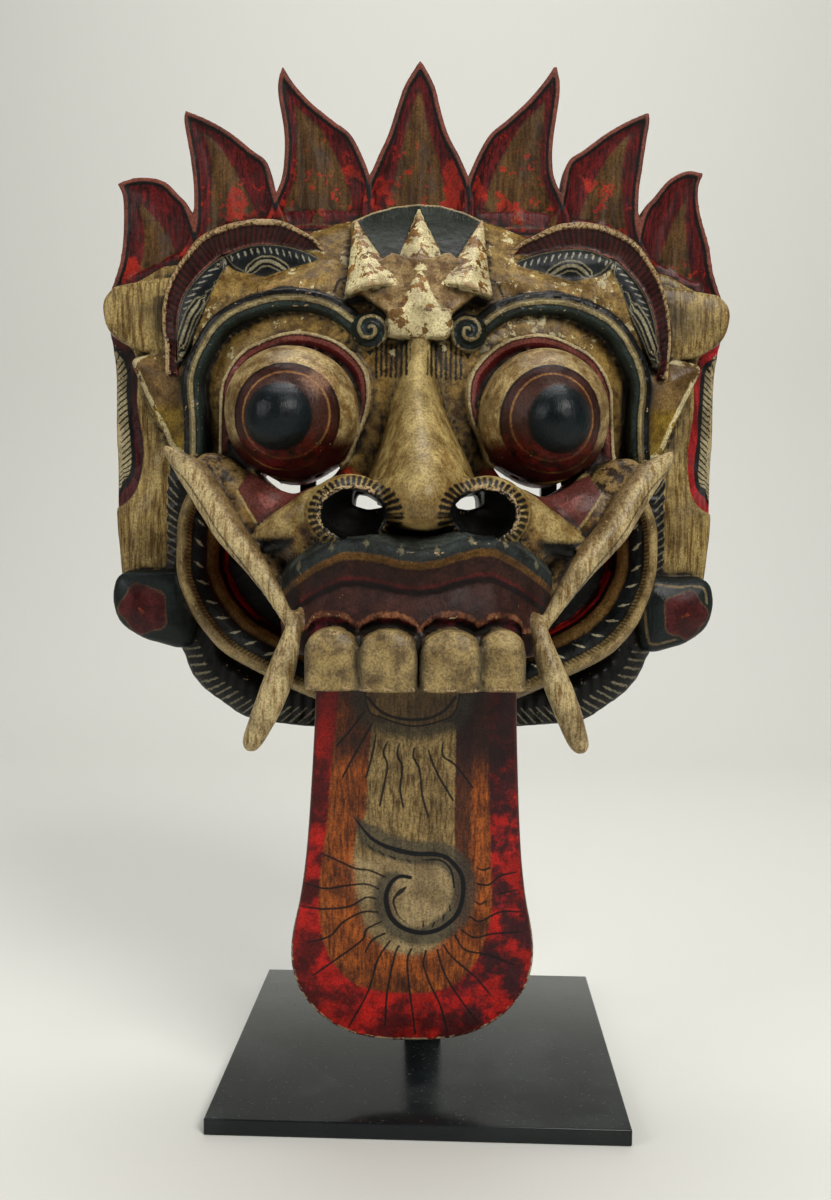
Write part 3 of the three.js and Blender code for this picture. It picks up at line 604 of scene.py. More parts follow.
def slab(edge, top, bottom=0.0, soft=1.5):
    """A raised form with the given outline and height; both are charts or numbers."""
    def form(x, f, z):
        high = top(x, z) if callable(top) else top
        return smooth_max(smooth_max(f - high, -read(edge, x, z), soft), bottom - f, 0)
    return form


def rod(path, radii):
    """A round carved bar that swells and tapers along a curve; path is in (x, forward, z)."""
    points = curve(path, 5)
    girth = np.interp(np.linspace(0, 1, len(points)), np.linspace(0, 1, len(radii)), radii)

    def form(x, f, z):
        best = None
        for a, b, ra, rb in zip(points, points[1:], girth, girth[1:]):
            d = b - a
            t = ((np.abs(x) - a[0]) * d[0] + (f - a[1]) * d[1] + (z - a[2]) * d[2]) / (d @ d)
            t = np.clip(t, 0, 1)
            gap = np.sqrt((np.abs(x) - a[0] - t * d[0])**2 + (f - a[1] - t * d[1])**2
                          + (z - a[2] - t * d[2])**2)
            gap = gap - (ra + t * (rb - ra))
            best = gap if best is None else smooth_min(best, gap, 0.6)
        return best
    return form


def oval(cx, cf, cz, rx, rf, rz):
    def form(x, f, z):
        k = np.sqrt(((np.abs(x) - cx) / rx)**2 + ((f - cf) / rf)**2 + ((z - cz) / rz)**2)
        return (k - 1) * min(rx, rf, rz)
    return form


forms = []


def add(group, form, low, high, soft=0.0):
    forms.append((group, form, low, high, soft, 1))


def cut(group, form, low, high, soft=0.0):
    forms.append((group, form, low, high, soft, -1))


# board behind the face, the broad bulge of the face, and the floor of the open mouth
board_edge = outline_map(curve(both([(0, 104), (60, 104), (104, 100), (124, 82), (129, 50), (131, 0),
                                     (132, -60), (129, -92), (121, -116), (112, -130), (97, -143),
                                     (80, -151), (58, -156), (30, -158), (0, -159)]), 4, True))
add("hair", slab(board_edge, 16), (0, 0, -162), (140, 20, 108))
mouth_edge = outline_map(np.array([(135, -8), (116, -24), (98, -42), (82, -62), (60, -95), (40, -95),
                                   (40, -180), (135, -180)]))


def beside_mouth(values, x, f, z):
    return smooth_max(values, -np.maximum(-read(mouth_edge, x, z), 25 - f), 2)


def face_bulge(x, f, z):
    k = np.sqrt((x / 120)**2 + ((z - 12) / 98)**2 + (np.clip(f - 16, 0, None) / 50)**2)
    bulge = smooth_max(np.maximum((k - 1) * 60, 0 - f), (f - 59 + 0.6 * (z - 55)) * 0.85, 8)
    return beside_mouth(bulge, x, f, z)


add("face", face_bulge, (0, 0, -90), (124, 68, 112), 3)

# ears: a slab each side with a sunk shell, a thick block on top, a plug through the lobe and a leaf
ear_edge = outline_map(curve([(112, 72), (150, 70), (158, 67), (161, 60), (160, 49), (158, 36), (156, 5),
                              (155, -38), (153, -72), (148, -84), (112, -86)], 4, True))
shell_edge = outline_map(curve([(172, 50), (158, 45), (148, 39), (145, 27), (145, 12), (142, -6),
                                (142, -20), (145, -34), (154, -42), (172, -44)], 4, True))
ear_top_edge = outline_map(curve([(118, 38), (136, 36), (148, 39), (158, 47), (161, 60), (157, 67),
                                  (150, 70), (118, 72)], 4, True))
plug_edge = outline_map(curve([(114, -78), (134, -76), (151, -77), (155, -88), (152, -101), (144, -108),
                               (133, -112), (114, -112)], 4, True))
leaf_edge = outline_map(curve([(108, 40), (124, 37), (146, 33), (143, 22), (139, 14), (131, -2), (125, -14),
                               (110, -18), (100, 4)], 4, True))
lobe_edge = outline_map(curve([(120, -14), (130, -6), (141, -16), (143, -32), (150, -42), (153, -60),
                               (152, -78), (138, -82), (120, -80)], 4, True))
add("ear", slab(ear_edge, lambda x, z: 23 - 5 * ease(150, 162, np.abs(x)), 0, 3), (110, 0, -90),
    (165, 26, 76))
cut("ear_shell", slab(shell_edge, 60, 16.5, 1), (138, 14, -48), (168, 40, 54), 1.5)
add("ear_top", slab(ear_top_edge, lambda x, z: 29 + 1.5 * np.sin(np.clip(read(ear_top_edge, x, z) / 7, 0,
        1.57)), 4, 2), (112, 0, 32), (166, 36, 76), 1)
add("ear_lobe", slab(lobe_edge, lambda x, z: 21 + 5 * np.sin(np.clip(read(lobe_edge, x, z) / 10, 0, 1.57)),
                     4, 3), (116, 0, -86), (160, 32, 0), 1)
add("ear_leaf", slab(leaf_edge, lambda x, z: 29 + 6 * np.sin(np.clip(read(leaf_edge, x, z) / 12, 0, 1.57))
                     - 0.05 * (np.abs(x) - 120), 4, 2), (98, 0, -22), (150, 40, 44), 1)
add("plug", slab(plug_edge, lambda x, z: 32 + 5 * np.sin(np.clip(read(plug_edge, x, z) / 9, 0, 1.57)), 4,
                 3), (110, 0, -116), (160, 42, -70), 0.5)

# crown: seven flames, each a dished blade with a raised leaf along its middle
crown_edge = outline_map(both([(0, 112), (60, 112), (100, 106), (130, 86), (150, 76), (150, 60), (100, 60),
                               (0, 60)]))
add("crown_foot", slab(crown_edge, 17, 2), (0, 0, 58), (154, 20, 114))
FLAMES = [((0, 189), [(-30, 100), (-29, 121), (-22, 138), (-15.5, 151), (-10.5, 167), (-7.5, 176)],
           [(30, 100), (29, 121), (22, 138), (15.5, 151), (10.5, 167), (7.5, 176)], [(0, 100), (0, 189)]),
          ((71, 185), [(22, 98), (25, 126), (34, 148), (45, 157), (56, 166), (65, 176)],
           [(82, 98), (75, 116), (70, 128), (69, 141), (70, 153), (73, 173)],
           [(52, 98), (52, 130), (60, 158), (71, 185)]), ((120, 161),
                                                          [(62, 90), (72, 116), (77, 135), (86, 142),
                                                           (97, 150), (108, 156)],
                                                          [(124, 86), (117, 100), (116, 117), (118, 134),
                                                           (120, 148), (121, 157)],
                                                          [(94, 90), (98, 118), (106, 142), (120, 161)]),
          ((155, 124), [(104, 64), (112, 92), (118, 111), (124, 118), (132, 125), (144, 127)],
           [(160, 66), (157, 74), (153, 86), (151, 102), (152, 117)],
           [(136, 66), (134, 88), (140, 108), (155, 124)]),]
flame_charts = []
for n, (tip, inner, outer, spine) in enumerate(FLAMES):
    edge = outline_map(np.vstack([curve(inner + [tip]), curve(outer + [tip])[::-1]]))
    spine_map = line_map(curve(spine))
    flame_charts.append((edge, spine_map[0], spine_map[1]))

    def height(x, z, edge=edge, spine=spine_map[0]):
        inward = np.clip(read(edge, x, z), 0, 40)
        dish = 7.5 * np.sin(np.clip((inward - 1.5) / 9, 0, 1.57)) - 3.5 * np.exp(-(read(spine, x, z)
                / 5)**2) * ease(5, 11, inward)
        return 20.5 - dish
    low_x, high_x = min(p[0] for p in inner) - 3, max(p[0] for p in outer) + 4
    add(f"flame{n}", slab(edge, height, 4, 1.6), (low_x, 2, 62), (high_x, 24, tip[1] + 3), 0)

# arched crest over each brow, and the two dark leaves under it
crest_outer = line_map(curve([(127, 22), (127, 34), (128, 47), (127, 61), (123, 74), (117, 84), (110, 93),
                              (98, 99), (83, 102), (69, 101), (58, 96), (50, 91), (45, 81)]))
crest_inner = line_map(curve([(121, 22), (122, 34), (121, 47), (119, 58), (115, 67), (107, 77), (98, 84),
                              (87, 88), (76, 89), (64, 87), (53, 84), (45, 78)]))
crest_edge = outline_map(np.vstack([curve([(127, 24), (127, 34), (128, 47), (127, 61), (123, 74), (117, 84),
                                           (110, 93), (98, 99), (83, 102), (69, 101), (58, 96), (50, 91),
                                           (43, 81)]), curve([(121, 24), (122, 34), (121, 47), (119, 58),
                                                              (115, 67), (107, 77), (98, 84), (87, 88),
                                                              (76, 89), (64, 87), (53, 84),
                                                              (43, 77)])[::-1]]))
crest_share = np.abs(crest_outer[0]) / (np.abs(crest_outer[0]) + np.abs(crest_inner[0]) + 1e-6)


def crest_height(x, z):
    share = read(crest_share, x, z)
    return np.interp(share, [0, 0.1, 0.24, 0.3, 0.6, 0.9, 0.96, 1],
                     [38, 40.5, 40.5, 38.5, 37.5, 36.5, 37.5, 36.5])


add("crest", slab(crest_edge, crest_height, 8, 1.2), (40, 6, 20), (132, 44, 106), 0.6)
upper_leaf = outline_map(np.vstack([curve([(44, 79), (53, 84), (64, 87.5), (76, 89), (87, 88), (98, 83.5)]),
                                    curve([(98, 83.5), (92, 77), (81, 72), (70, 71), (58, 72.5),
                                           (44, 79)])]))
side_leaf = outline_map(np.vstack([curve([(98, 84), (107, 77), (115, 67), (119, 58), (121, 47),
                                          (121.5, 28)]), curve([(121.5, 28), (116, 36), (112, 46),
                                                                (106, 58), (101, 68), (97, 76)])]))
for edge in (upper_leaf, side_leaf):
    add("leaf", slab(edge, lambda x, z, edge=edge: 40 + 2.2 * np.sin(np.clip(read(edge, x, z) / 6, 0, 1.57))
                     - 0.05 * (np.abs(x) - 70), 8, 1.4), (40, 8, 22), (126, 46, 94), 0.6)
wedge = outline_map(np.array([(92, 76), (99, 84), (104, 70), (114, 44), (110, 20), (104, 22), (94, 46),
                              (78, 56), (56, 62), (42, 68), (44, 78), (58, 72), (76, 70)]))
add("panel", slab(wedge, lambda x, z: 37 + 22 * ease(116, 50, np.abs(x)) * ease(96, 50, z), 8, 6),
    (36, 8, 14), (118, 60, 90), 5)

# eyebrow: three rolls side by side that end in a curl beside the root of the nose
brow_line = line_map(curve([(106, -20), (106, 3), (106, 20), (101, 33), (93, 44), (81, 50), (65, 53),
                            (48, 51), (37, 45), (30, 37)]))


def eyebrow(x, f, z):
    inward = read(brow_line[0], x, z) * -1
    along = read(brow_line[1], x, z)
    base = 43 + 16 * ease(20, 150, along)
    roll = np.interp(inward, [-1, 0, 1, 2.3, 3.8, 4.3, 4.8, 5.6, 6.3, 6.7, 7.3, 9, 10.4, 11.2],
                     [-6, 2, 5, 6.2, 6, 5, 7, 7.8, 7, 5, 6, 6, 4.5, 0])
    edge = np.minimum(np.minimum(inward, 11.2 - inward), np.minimum(along - 1, 165 - along))
    return smooth_max(smooth_max((f - base - roll) * 0.8, -edge, 0.8), 20 - f, 0)


add("brow", eyebrow, (22, 16, -24), (112, 72, 58), 0.5)


def curl(x, f, z):
    dx, dz = np.abs(x) - 23, z - 42
    rho = np.sqrt(dx * dx + dz * dz)
    angle = np.arctan2(dz, dx)
    wave = np.cos(2 * np.pi * (rho / 5.2 - angle / (2 * np.pi)))
    top = 71.5 + 1.3 * wave - 0.05 * rho**2
    return smooth_max(smooth_max(f - top, rho - 9, 1.5), 30 - f, 0)


add("curl", curl, (12, 28, 30), (34, 76, 54), 0.5)

# eye: a ball, an iris and a domed pupil that step out of each other under a raised lid
lid_line = curve([(96, -20), (96.5, -9), (96, 6), (94, 18), (86, 31), (74, 38), (60, 42), (45, 40),
                  (34, 34), (25, 23), (23, 10), (25, -1), (29, -10), (34, -22)])
lid_edge = outline_map(np.vstack([lid_line, [(44, -28), (56, -31), (67, -31), (76, -27), (88, -22)]]))


def lid(x, f, z):
    inward = read(lid_edge, x, z)
    ring = np.sqrt((np.abs(x) - 60.5)**2 + (z - 3)**2)
    top = 61 + np.interp(inward, [-1, 0, 0.9, 1.9, 2.4, 4.2, 6, 10],
                         [-3, 2.5, 4.2, 4, 2.8, 2.6, 1.5, -3]) + 3 * ease(96, 40, np.abs(x))
    return smooth_max(smooth_max(smooth_max(f - top, -inward, 0.8), -26 - z, 1), 26 - f, 0)


socket = oval(60.5, 74, -4, 38, 24, 36)
cut("socket", socket, (20, 46, -44), (102, 100, 36), 2)
add("lid", lid, (20, 22, -30), (102, 72, 46), 0.5)
add("eyeball", oval(60.5, 68, 2, 32, 32, 32), (26, 34, -32), (95, 102, 36), 0)
add("iris", oval(61, 76, -0.5, 26.5, 26.5, 26.5), (34, 48, -30), (90, 105, 30), 0.6)
add("pupil", oval(63.2, 91.6, -2, 16.4, 16.4, 16.4), (44, 74, -20), (82, 110, 16), 0.5)

# cheeks, the lower lids and the folds beside the nose
for centre, radii, low, high in (((74, 50, -48), (34, 36, 29), (36, 14, -80), (110, 88, -16)),
                                 ((48, 62, -54), (26, 38, 21), (20, 24, -78), (76, 102, -30))):
    ball = oval(*centre, *radii)
    add("cheek", lambda x, f, z, ball=ball: beside_mouth(ball(x, f, z), x, f, z), low, high, 2.5)
add("fold", rod([(36, 92, -34), (48, 92, -44), (60, 89, -53), (74, 83, -60)], [5, 8.5, 9, 6]),
    (26, 76, -74), (88, 104, -24), 1.2)

# nose: a ridge that swells to a bulb, with flared wings round the nostrils
nose_rows = np.array([(60, 9, 58), (54, 9.5, 62), (42, 10, 70), (24, 11.5, 80), (8, 14.5, 91),
                      (-8, 19.5, 106), (-22, 25.5, 121), (-34, 29.5, 130.5), (-43, 28.5, 132.5),
                      (-50, 21.5, 128.5), (-55, 9, 118)])[::-1]
nose_curve = curve(nose_rows, 6)


def nose(x, f, z):
    half_width = np.interp(z, nose_curve[:, 0], nose_curve[:, 1])
    front = np.interp(z, nose_curve[:, 0], nose_curve[:, 2])
    q = np.abs((x - 2 * ease(10, -30, z)) / half_width)**1.8 + (np.clip(f - 30, 0, None)
                                                                / (front - 30))**2.5
    side = (np.sqrt(q) - 1) * half_width * 0.9
    return smooth_max(smooth_max(side, -54.5 - z, 4), z - 58, 2)


add("nose", nose, (0, 26, -58), (34, 136, 62), 2)
add("wing", oval(31.5, 101, -46, 19, 21, 17), (10, 78, -66), (54, 124, -26), 2.5)


# muzzle: rolled slate lip, brown lower lip, scalloped gum and four broad teeth
def lip_top(x):
    a = np.abs(x)
    return np.interp(a, [0, 9, 16, 26, 34, 46, 58, 66], [-59, -58, -56, -54.5, -55, -61, -69,
                                                         -76]) + 3 * ease(5, 50, x)


def gum_low(x):
    return -101 + 7.5 * np.sqrt(np.clip(np.max([1 - ((x - c) / w)**2 for c,
                                                w in ((-38, 12), (-13, 13), (14.5, 13), (37.5, 11))], 0), 0,
                                        1))


def muzzle(x, f, z):
    a = np.abs(x)
    plan = np.interp(a, [0, 14, 34, 46, 54, 60, 64, 67], [115.5, 114.5, 110, 103.5, 97, 88, 78, 60])
    below = lip_top(x) - z
    bulge = np.interp(below, [-3, -1, 0, 2, 5, 9, 12, 13.5, 16, 20, 23, 24.5, 27, 30, 36, 41],
                      [-14, -6, -2, 3, 6, 6.2, 3.6, 2.6, 1.6, 0.3, 0, -1.4, -0.2, 1.2, 2.6, 3.2])
    top = plan + bulge * (0.55 + 0.45 * ease(66, 50, a)) + np.where(z > gum_low(x), 0, -4.5) * ease(-92,
            -96, z)
    sd = smooth_max((f - top) * 0.85, a - 66.5, 3)
    sd = smooth_max(sd, z - lip_top(x) - 2.5, 2.5)
    return smooth_max(sd, np.maximum(-112 - z, 20 - f), 0.5)


add("muzzle", muzzle, (0, 18, -114), (70, 126, -50), 0.8)
add("tooth_bed", lambda x, f, z: smooth_max(smooth_max(f - 119, np.abs(x) - 45, 1),
                                            np.maximum(np.maximum(-124 - z, z + 100), 106.5 - f), 0.5),
    (0, 104, -128), (48, 122, -98), 0.5)


def tooth(centre, width, front):
    def form(x, f, z):
        dx = (x - centre) / (width / 2)
        arch = -97.5 - 10 * (1 - np.sqrt(np.clip(1 - dx * dx, 0, 1)))
        top = front - 3.2 * dx**2 - 2.5 * ease(-108, -96, z) + 1.0 * ease(-122, -112, z)
        sd = smooth_max((f - top), (np.abs(dx) - 1) * width / 2, 3.4)
        sd = smooth_max(sd, (z - arch) * 0.8, 2)
        return np.maximum(sd, np.maximum(-125 - z, 107 - f))
    return form


TEETH = [(-38, 24.2, 126.5), (-13, 25.8, 130), (14.3, 26.6, 130), (37.6, 20.6, 126)]
for centre, width, front in TEETH:
    low_x, high_x = centre - width / 2 - 2, centre + width / 2 + 2
    forms.append(("tooth", tooth(centre, width, front), (low_x, 104, -128), (high_x, 134, -92), 0, 2))

# tusks that curl up over the cheeks, the mottled cheek lobes behind them, and the fangs
lobe = outline_map(curve([(100, -18), (106, -25), (96, -46), (84, -62), (72, -78), (63, -90), (59, -80),
                          (63, -66), (67, -52), (75, -35), (86, -22)], 4, True))
add("cheek_lobe", slab(lobe, lambda x, z: 75 + 6 * np.sin(np.clip(read(lobe, x, z) / 8, 0, 1.57)), 25, 3),
    (54, 22, -92), (108, 86, -14), 1)
add("tusk", rod([(57.5, 98, -100), (60, 98.5, -95), (64, 98, -88), (74.5, 95, -71), (82, 91, -61.5),
                 (90, 87, -52), (98, 82, -40), (106, 78, -29), (114.5, 75, -21.5), (121, 73, -16)],
                [2.2, 2.7, 3.6, 5.4, 6.5, 7.3, 7.7, 7.0, 4.2, 1.4]), (50, 62, -106), (128, 110, -10), 0.8)
add("fang", rod([(55, 99, -93), (56.5, 102, -100), (60.5, 105, -114), (64.5, 107, -126), (69, 107, -138),
                 (73, 105.5, -148), (74.5, 105, -151.5)], [2.6, 3.9, 5.7, 6.2, 5.8, 4.8, 3.8]),
    (46, 92, -160), (84, 118, -82), 0.6)

# lower jaw: rolled ring that runs down both sides of the open mouth and behind the tongue
jaw_line = line_map(curve([(-20, -146), (0, -147), (20, -146), (45, -141), (60, -136), (75, -129),
                           (88, -122), (99, -114), (110, -101), (116, -89), (120, -77), (121, -62),
                           (120, -47), (114, -33), (104, -22), (96, -12)]))


def jaw(x, f, z):
    inward = read(jaw_line[0], x, z)
    top = np.interp(inward, [-1, 0, 1.5, 4, 6.5, 8.2, 8.8, 10, 12.5, 15.2, 15.9, 18, 20.5, 23.5],
                    [24, 38, 46, 50.5, 50, 46, 44.5, 45, 43.5, 41, 39, 38.5, 35, 25])
    edge = np.minimum(inward, 22.5 - inward)
    sd = smooth_max((f - top) * 0.75, -edge, 1)
    return smooth_max(np.maximum(sd, z + 14 + 0.2 * (np.abs(x) - 100)), 8 - f, 0)


add("jaw", jaw, (0, 6, -150), (126, 54, -8), 1)
beard_edge = outline_map(curve(both([(0, -158), (30, -157), (56, -156), (80, -153.5), (90, -151),
                                     (100, -144), (109, -137), (116, -128), (120, -118), (127, -104),
                                     (132, -80), (133, -50), (131, -18), (118, -10), (60, -60)]), 4, True))


def hair(x, f, z):
    inward = read(beard_edge, x, z)
    lock = np.sin(read(jaw_line[1], x, z) * 1.15 + 2.2 * np.sin(inward * 0.25))
    top = 21 + 6 * np.sin(np.clip(inward / 7, 0, 1.57)) + 0.45 * lock - 11 * ease(17, 26, inward)
    return smooth_max(smooth_max(f - top, -inward, 2), 2 - f, 0)


add("hair", hair, (0, 0, -162), (136, 32, -6), 0.8)


# diadem: a sloping fan with three pointed rays, stepped down to a small block at the nose's root
def spike(tip, foot, half_width, depth_tip, depth_foot, ridge):
    (ax, az), (bx, bz) = tip, foot
    size = math.hypot(bx - ax, bz - az)
    ux, uz = (bx - ax) / size, (bz - az) / size

    def form(x, f, z):
        v = ((np.abs(x) - ax) * ux + (z - az) * uz) / size
        u = np.abs((np.abs(x) - ax) * uz - (z - az) * ux)
        wide = half_width * np.clip(v, 0.001, 1.2)
        top = depth_tip + (depth_foot - depth_tip) * v + ridge * v * np.clip(1 - u / wide, 0, 1)
        return smooth_max(smooth_max((f - top) * 0.8, (u - wide) * 0.9, 0.6),
                          np.maximum((v - 1) * size, 20 - f), 0.4)
    return form


fan_edge = outline_map(both([(0, 112), (12, 111), (24, 107.5), (34, 102), (33, 88), (34, 76), (34, 63),
                             (26, 62), (14, 76), (6, 78), (0, 76)]))
shield_edge = outline_map(both([(0, 78), (6, 79), (14, 81.5), (22, 76), (33, 66), (24, 58), (16, 51),
                                (14, 47), (0, 46)]))
root_edge = outline_map(both([(0, 52), (15, 52), (14.5, 44), (13.5, 38), (0, 37)]))
add("fan", slab(fan_edge, lambda x, z: 34 + 24 * ease(110, 62, z), 14, 1.2), (0, 12, 58), (38, 60, 114), 0)
add("shield", slab(shield_edge, lambda x, z: 60 + 10 * ease(80, 48, z), 20, 1.5), (0, 20, 44), (38, 72, 84),
    0)
add("root", slab(root_edge, 74, 30, 2), (0, 30, 34), (17, 78, 54), 0)
for group, tip, foot, width, depths in (("ray", (0, 109), (0, 72), 14, (36, 54)),
                                        ("ray", (32, 103), (23, 62), 13, (40, 66)),
                                        ("low_ray", (0, 72), (0, 51), 16, (62, 67))):
    add(group, spike(tip, foot, width, *depths, 10), (0, 20, foot[1] - 4), (40, 82, tip[1] + 3), 0)

# openings: the wearer's hollow, sight slits, nostrils, the tongue's slot and the pegs' sockets
cut("inside", lambda x, f, z: np.maximum((np.sqrt((x / 106)**2 + ((z - 12) / 84)**2
                                                  + (np.clip(f - 1, 0, None) / 51)**2) - 1) * 60, f - 60),
    (0, -6, -76), (112, 56, 100), 0)
slit_edge = outline_map(curve([(80, -21), (75, -28), (67, -34), (58, -37), (52, -34), (42, -28), (37, -21),
                               (44, -25.5), (52, -29.5), (60, -31), (68, -29.5), (75, -25)], 3, True))
cut("slit", slab(slit_edge, 140, -6, 0), (34, -6, -40), (84, 104, -18), 0)
cut("nostril", oval(29, 121, -47.5, 14.5, 25, 11.5), (12, 94, -62), (46, 148, -34), 1.5)
tunnel_edge = outline_map(np.array([(15.5, -43.2), (20, -39.2), (25, -36.4), (30, -36), (30.5, -42.8),
                                    (23, -44.6)]))
cut("nostril", slab(tunnel_edge, 118, -6, 0.5), (12, -6, -48), (34, 120, -32), 0.5)


def slot(x, f, z):
    lean = (z - TONGUE_TOP) * TONGUE_SLOPE
    return np.maximum(np.maximum(np.abs(x) - 48, z + 110.5), np.maximum(f - (99.5 + lean),
            (92.5 + lean) - f))


cut("slot", slot, (0, 84, -132), (50, 106, -108), 0)
for centre in (-57.5, 72.5):
    forms.append(("socket_hole", lambda x, f, z, c=centre: np.maximum(np.maximum(np.abs(x - c) - 4.6,
            np.abs(z - 88) - 4.6), f - 12.3), (centre - 6, -6, 82), (centre + 6, 14, 94), 0, -2))


def warp(x, z):
    """The two halves were carved by eye: the right side's flames and lip sit a little higher."""
    crown_part = ease(90, 130, z)
    right_side = ease(20, 60, x)
    wx = x + (2 * ease(90, 118, x) + 6 * ease(125, 150, x)) * crown_part
    wz = z - (3 * right_side + 7 * ease(118, 150, x)) * crown_part
    wx = wx - 2.5 * ease(60, 105, x) * ease(150, 122, x) * ease(-10, -30, z)
    wx = wx + 0.5 * np.sin(x * 0.071 + z * 0.043 + 1.3) + 0.3 * np.sin(z * 0.13 - x * 0.05)
    wz = wz + 0.4 * np.sin(x * 0.083 - z * 0.037 + 0.4)
    return wx, wz


field = np.full(SHAPE, 30.0, np.float32)
flat_x, flat_z = warp(gx[:, None], gz[None, :])


def window(low, high):
    """Grid cells inside a box, on both sides of the mask when the form is mirrored."""
    return [slice(max(0, int((low[i] - GRID_LOW[i]) / STEP)), min(SHAPE[i],
            int((high[i] - GRID_LOW[i]) / STEP) + 2)) for i in range(3)]


for group, form, low, high, soft, kind in forms:
    sides = [(low, high)]
    if abs(kind) == 1:
        sides = [((-high[0], low[1], low[2]), high)] if low[0] <= 30 else [(low, high),
                ((-high[0], low[1], low[2]), (-low[0], high[1], high[2]))]
    for a, b in sides:
        a = (a[0] - 9, a[1] - 2, a[2] - 11)
        b = (b[0] + 9, b[1] + 2, b[2] + 11)
        wi, wj, wk = window(a, b)
        x = flat_x[wi, None, wk]
        z = flat_z[wi, None, wk]
        if abs(kind) == 2:
            x = gx[wi][:, None, None]
            z = gz[wk][None, None, :]
        values = form(x, gf[wj][None, :, None], z).astype(np.float32)
        old = field[wi, wj, wk]
        field[wi, wj, wk] = smooth_min(old, values, soft) if kind > 0 else smooth_max(old, -values, soft)
field = np.maximum(field, -gf[None, :, None].astype(np.float32))


def settle(field):
    """Fills the places where two sheets of the surface would meet along one edge."""
    for _ in range(8):
        changed = False
        for u, v in ((0, 1), (1, 2), (0, 2)):
            corners = []
            for du, dv in ((0, 0), (1, 0), (0, 1), (1, 1)):
                part = [slice(None)] * 3
                part[u] = slice(du, field.shape[u] - 1 + du)
                part[v] = slice(dv, field.shape[v] - 1 + dv)
                corners.append(field[tuple(part)])
            a, b, c, d = (corner < 0 for corner in corners)
            crossed = (a == d) & (b == c) & (a != b)
            changed |= crossed.any()
            for corner in corners:
                corner[crossed] = np.minimum(corner[crossed], -0.05)
        if not changed:
            break


def largest_part(points, quads):
    """Leaves out small closed pockets inside the wood."""
    label = np.arange(len(points))
    settled = False
    while not settled:
        lower = label.copy()
        np.minimum.at(lower, quads.ravel(), np.repeat(label[quads].min(1), 4))
        lower = lower[lower]
        settled = (lower == label).all()
        label = lower
    kept = label == np.bincount(label).argmax()
    renumbered = np.cumsum(kept) - 1
    return points[kept], renumbered[quads[kept[quads[:, 0]]]]


def net(field, low, step):
    """Closed mesh through the zero level of a grid: one point in every cell that the level crosses."""
    inside = field < 0
    corners = [(i, j, k) for i in (0, 1) for j in (0, 1) for k in (0, 1)]
    n = [s - 1 for s in field.shape]
    total = sum(inside[i:n[0] + i, j:n[1] + j, k:n[2] + k].astype(np.int8) for i, j, k in corners)
    cells = np.argwhere((total > 0) & (total < 8))
    ids = np.full(n, -1, np.int64)
    ids[tuple(cells.T)] = np.arange(len(cells))
    values = np.stack([field[cells[:, 0] + i, cells[:, 1] + j, cells[:, 2] + k] for i, j, k in corners], 1)
    points = np.zeros((len(cells), 3))
    count = np.zeros((len(cells), 1))
    for a in range(8):
        for b in range(a + 1, 8):
            if sum(abs(corners[a][m] - corners[b][m]) for m in range(3)) != 1:
                continue
            va, vb = values[:, a], values[:, b]
            crossing = (va < 0) != (vb < 0)
            t = np.where(crossing, va / np.where(crossing, va - vb, 1), 0)
            pa, pb = np.array(corners[a], float), np.array(corners[b], float)
            points += crossing[:, None] * (pa + t[:, None] * (pb - pa))
            count += crossing[:, None]
    points = low + step * (cells + points / count)
    quads = []
    for axis in range(3):
        u, v = (axis + 1) % 3, (axis + 2) % 3
        shift = [slice(None)] * 3
        ahead = [slice(None)] * 3
        shift[axis], ahead[axis] = slice(0, -1), slice(1, None)
        change = inside[tuple(shift)] != inside[tuple(ahead)]
        edges = np.argwhere(change)
        edges = edges[(edges[:, u] > 0) & (edges[:, v] > 0) & (edges[:, u] < n[u]) & (edges[:, v] < n[v])]
        start_inside = inside[tuple(edges.T)]
        around_cells = []
        for du, dv in ((-1, -1), (0, -1), (0, 0), (-1, 0)):
            c = edges.copy()
            c[:, u] += du
            c[:, v] += dv
            around_cells.append(ids[tuple(c.T)])
        quad = np.stack(around_cells, 1)
        quads.append(np.where(start_inside[:, None], quad, quad[:, ::-1]))
    return points, np.vstack(quads)


settle(field)
points, quads = largest_part(*net(field, GRID_LOW, STEP))
mask = closed_mesh("mask_carving", put(points[:, 0], points[:, 1], points[:, 2]).tolist(),
                   quads[:, ::-1].tolist())
thinning = mask.modifiers.new("thinning", "DECIMATE")
thinning.ratio = 0.485  # fewer triangles, most of them taken from the smooth parts
mask_mesh = bpy.data.meshes.new_from_object(mask.evaluated_get(bpy.context.evaluated_depsgraph_get()))
mask.modifiers.clear()
mask.data = mask_mesh
mask_mesh.shade_smooth()
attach(mask, "root")
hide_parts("mask")
flat = np.zeros(3 * len(mask_mesh.vertices), np.float32)
mask_mesh.vertices.foreach_get("co", flat)
x, y, z = flat.reshape(-1, 3).T.astype(float) * 1000
cos_turn, sin_turn = math.cos(turn), math.sin(turn)
points = np.stack([x * cos_turn + y * sin_turn - MASK_X, MASK_Y - (y * cos_turn - x * sin_turn),
                   z - MASK_Z], -1)

